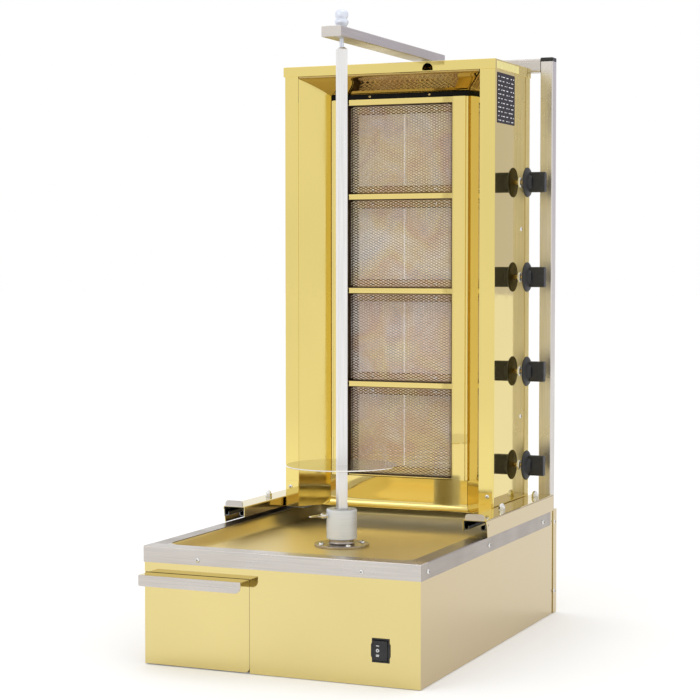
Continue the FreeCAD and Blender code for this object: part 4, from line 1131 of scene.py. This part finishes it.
# ---------------------------------------------------------------- knobs
def knob(index):
    """Skirted knob with an upright grip, its brass stem and the washer on the panel."""
    node = "knob_%d" % (index + 1)
    low, high = node_box(node)
    face, reach = low.x, high.x
    y, z = (low.y + high.y) / 2, (low.z + high.z) / 2
    radius = (high.y - low.y) / 2

    def build(work):
        profile = [(0.0, face), (radius - 1.0, face), (radius, face + 0.8), (radius, face + 2.4),
                (radius - 1.4, face + 3.9), (radius - 7.0, face + 6.6), (16.5, face + 8.2),
                (14.5, face + 10.0), (13.6, face + 13.5), (0.0, face + 13.9)]
        add_lathe(work, eased(profile, 1.2), "x", (0, y, z), 72)
        scratch = bmesh.new()
        outline = rounded_corners(rectangle(y - 7, z - 18.3, y + 7, z + 18.3), 3.2, 4)
        add_prism(scratch, outline, "x", face + 6.5, reach, 1.5, 3)
        join(work, scratch)
    show(node + "_body", build, plastic, node, node, smooth_degrees=45)

    def stem(work):
        add_lathe(work, [(0, 204.6), (4.0, 204.6), (4.0, 205.2), (3.2, 205.6), (3.2, 209.2), (4.0, 209.8),
                (4.0, face + 0.2), (0, face + 0.2)], "x", (0, y, z), 32)
    show(node + "_stem", stem, brass, node, "knob_stem_%d" % (index + 1))

    def washer(work):
        disc = [(5.2, 202.02), (9.6, 202.02), (9.6, 202.9), (5.2, 202.9), (5.2, 202.02)]
        add_lathe(work, disc, "x", (0, y, z), 40)
        nut = [(5.2, 202.9), (8.6, 202.9), (8.6, 204.2), (7.6, 204.9), (5.2, 204.9), (5.2, 202.9)]
        add_lathe(work, nut, "x", (0, y, z), 6, 0.5)
    show(node + "_nut", washer, bright, "tower", smooth_degrees=30)


# ---------------------------------------------------------------- everything together
soften_cad("base_shell", 0.55)
rim_frame()
drip_pan()
drawer_face()
base_screws()
switch()
rails()
mast()
spit()
tower_skins()
tower_inside()
burner_tiles()
for number in range(BURNERS):
    expanded_screen(number)
    knob(number)
tower_fittings()


# ---------------------------------------------------------------- floor, light and camera
def studio():
    """Pale floor, a white surround that dims on one side, and two weak soft lights."""
    floor_mesh = bpy.data.meshes.new("studio_floor")
    floor_mesh.from_pydata([(-30, -30, 0), (30, -30, 0), (30, 30, 0), (-30, 30, 0)], [], [(0, 1, 2, 3)])
    floor = bpy.data.objects.new("studio_floor", floor_mesh)
    floor.location.z = -0.001
    scene.collection.objects.link(floor)
    paint = bpy.data.materials.new("studio_paint")
    paint.use_nodes = True
    shader = paint.node_tree.nodes["Principled BSDF"]
    shader.inputs["Base Color"].default_value = (0.96, 0.96, 0.96, 1)
    shader.inputs["Roughness"].default_value = 0.9
    shader.inputs["Emission Color"].default_value = (1, 1, 1, 1)
    shader.inputs["Emission Strength"].default_value = 0.07
    floor_mesh.materials.append(paint)

    world = bpy.data.worlds.new("studio")
    scene.world = world
    world.use_nodes = True
    tree = world.node_tree
    direction = tree.nodes.new("ShaderNodeTexCoord").outputs["Generated"]
    toward = tree.nodes.new("ShaderNodeVectorMath")
    toward.operation = "DOT_PRODUCT"
    tree.links.new(direction, toward.inputs[0])
    toward.inputs[1].default_value = (0.395, 0.917, 0.0)
    ramp = tree.nodes.new("ShaderNodeMapRange")
    ramp.interpolation_type = "SMOOTHSTEP"
    set_range(ramp, 0.84, 0.95, 0.0, 1.0)
    tree.links.new(toward.outputs["Value"], ramp.inputs["Value"])
    shade = tree.nodes.new("ShaderNodeMix")
    shade.data_type = "RGBA"
    shade.inputs[6].default_value = (1, 1, 1, 1)
    shade.inputs[7].default_value = (0.68, 0.66, 0.76, 1)
    tree.links.new(ramp.outputs["Result"], shade.inputs[0])
    tree.links.new(shade.outputs[2], tree.nodes["Background"].inputs["Color"])
    tree.nodes["Background"].inputs["Strength"].default_value = 1.0

    for name, place, aim, size, power in (("key", (-1.6, -2.6, 2.6), (0, 0, 0.5), 1.6, 11),
            ("top", (0.3, 0.2, 3.2), (0, 0, 0.3), 1.8, 8)):
        light = bpy.data.lights.new(name, "AREA")
        light.size, light.energy = size, power
        lamp = bpy.data.objects.new(name, light)
        lamp.location = place
        lamp.rotation_euler = (Vector(aim) - Vector(place)).to_track_quat("-Z", "Y").to_euler()
        scene.collection.objects.link(lamp)


def camera():
    """A long lens a little above the spit's middle, to the front right."""
    yaw, pitch = math.radians(23.32), math.radians(2.79)
    view = Vector((-math.sin(yaw) * math.cos(pitch), math.cos(yaw) * math.cos(pitch), -math.sin(pitch)))
    data = bpy.data.cameras.new("camera")
    data.lens, data.sensor_width = 95.58, 36.0
    eye = bpy.data.objects.new("camera", data)
    eye.location = (1.2565, -2.978, 0.659)
    eye.rotation_euler = view.to_track_quat("-Z", "Y").to_euler()
    scene.collection.objects.link(eye)
    scene.camera = eye


studio()
camera()
scene.view_settings.view_transform = "Standard"
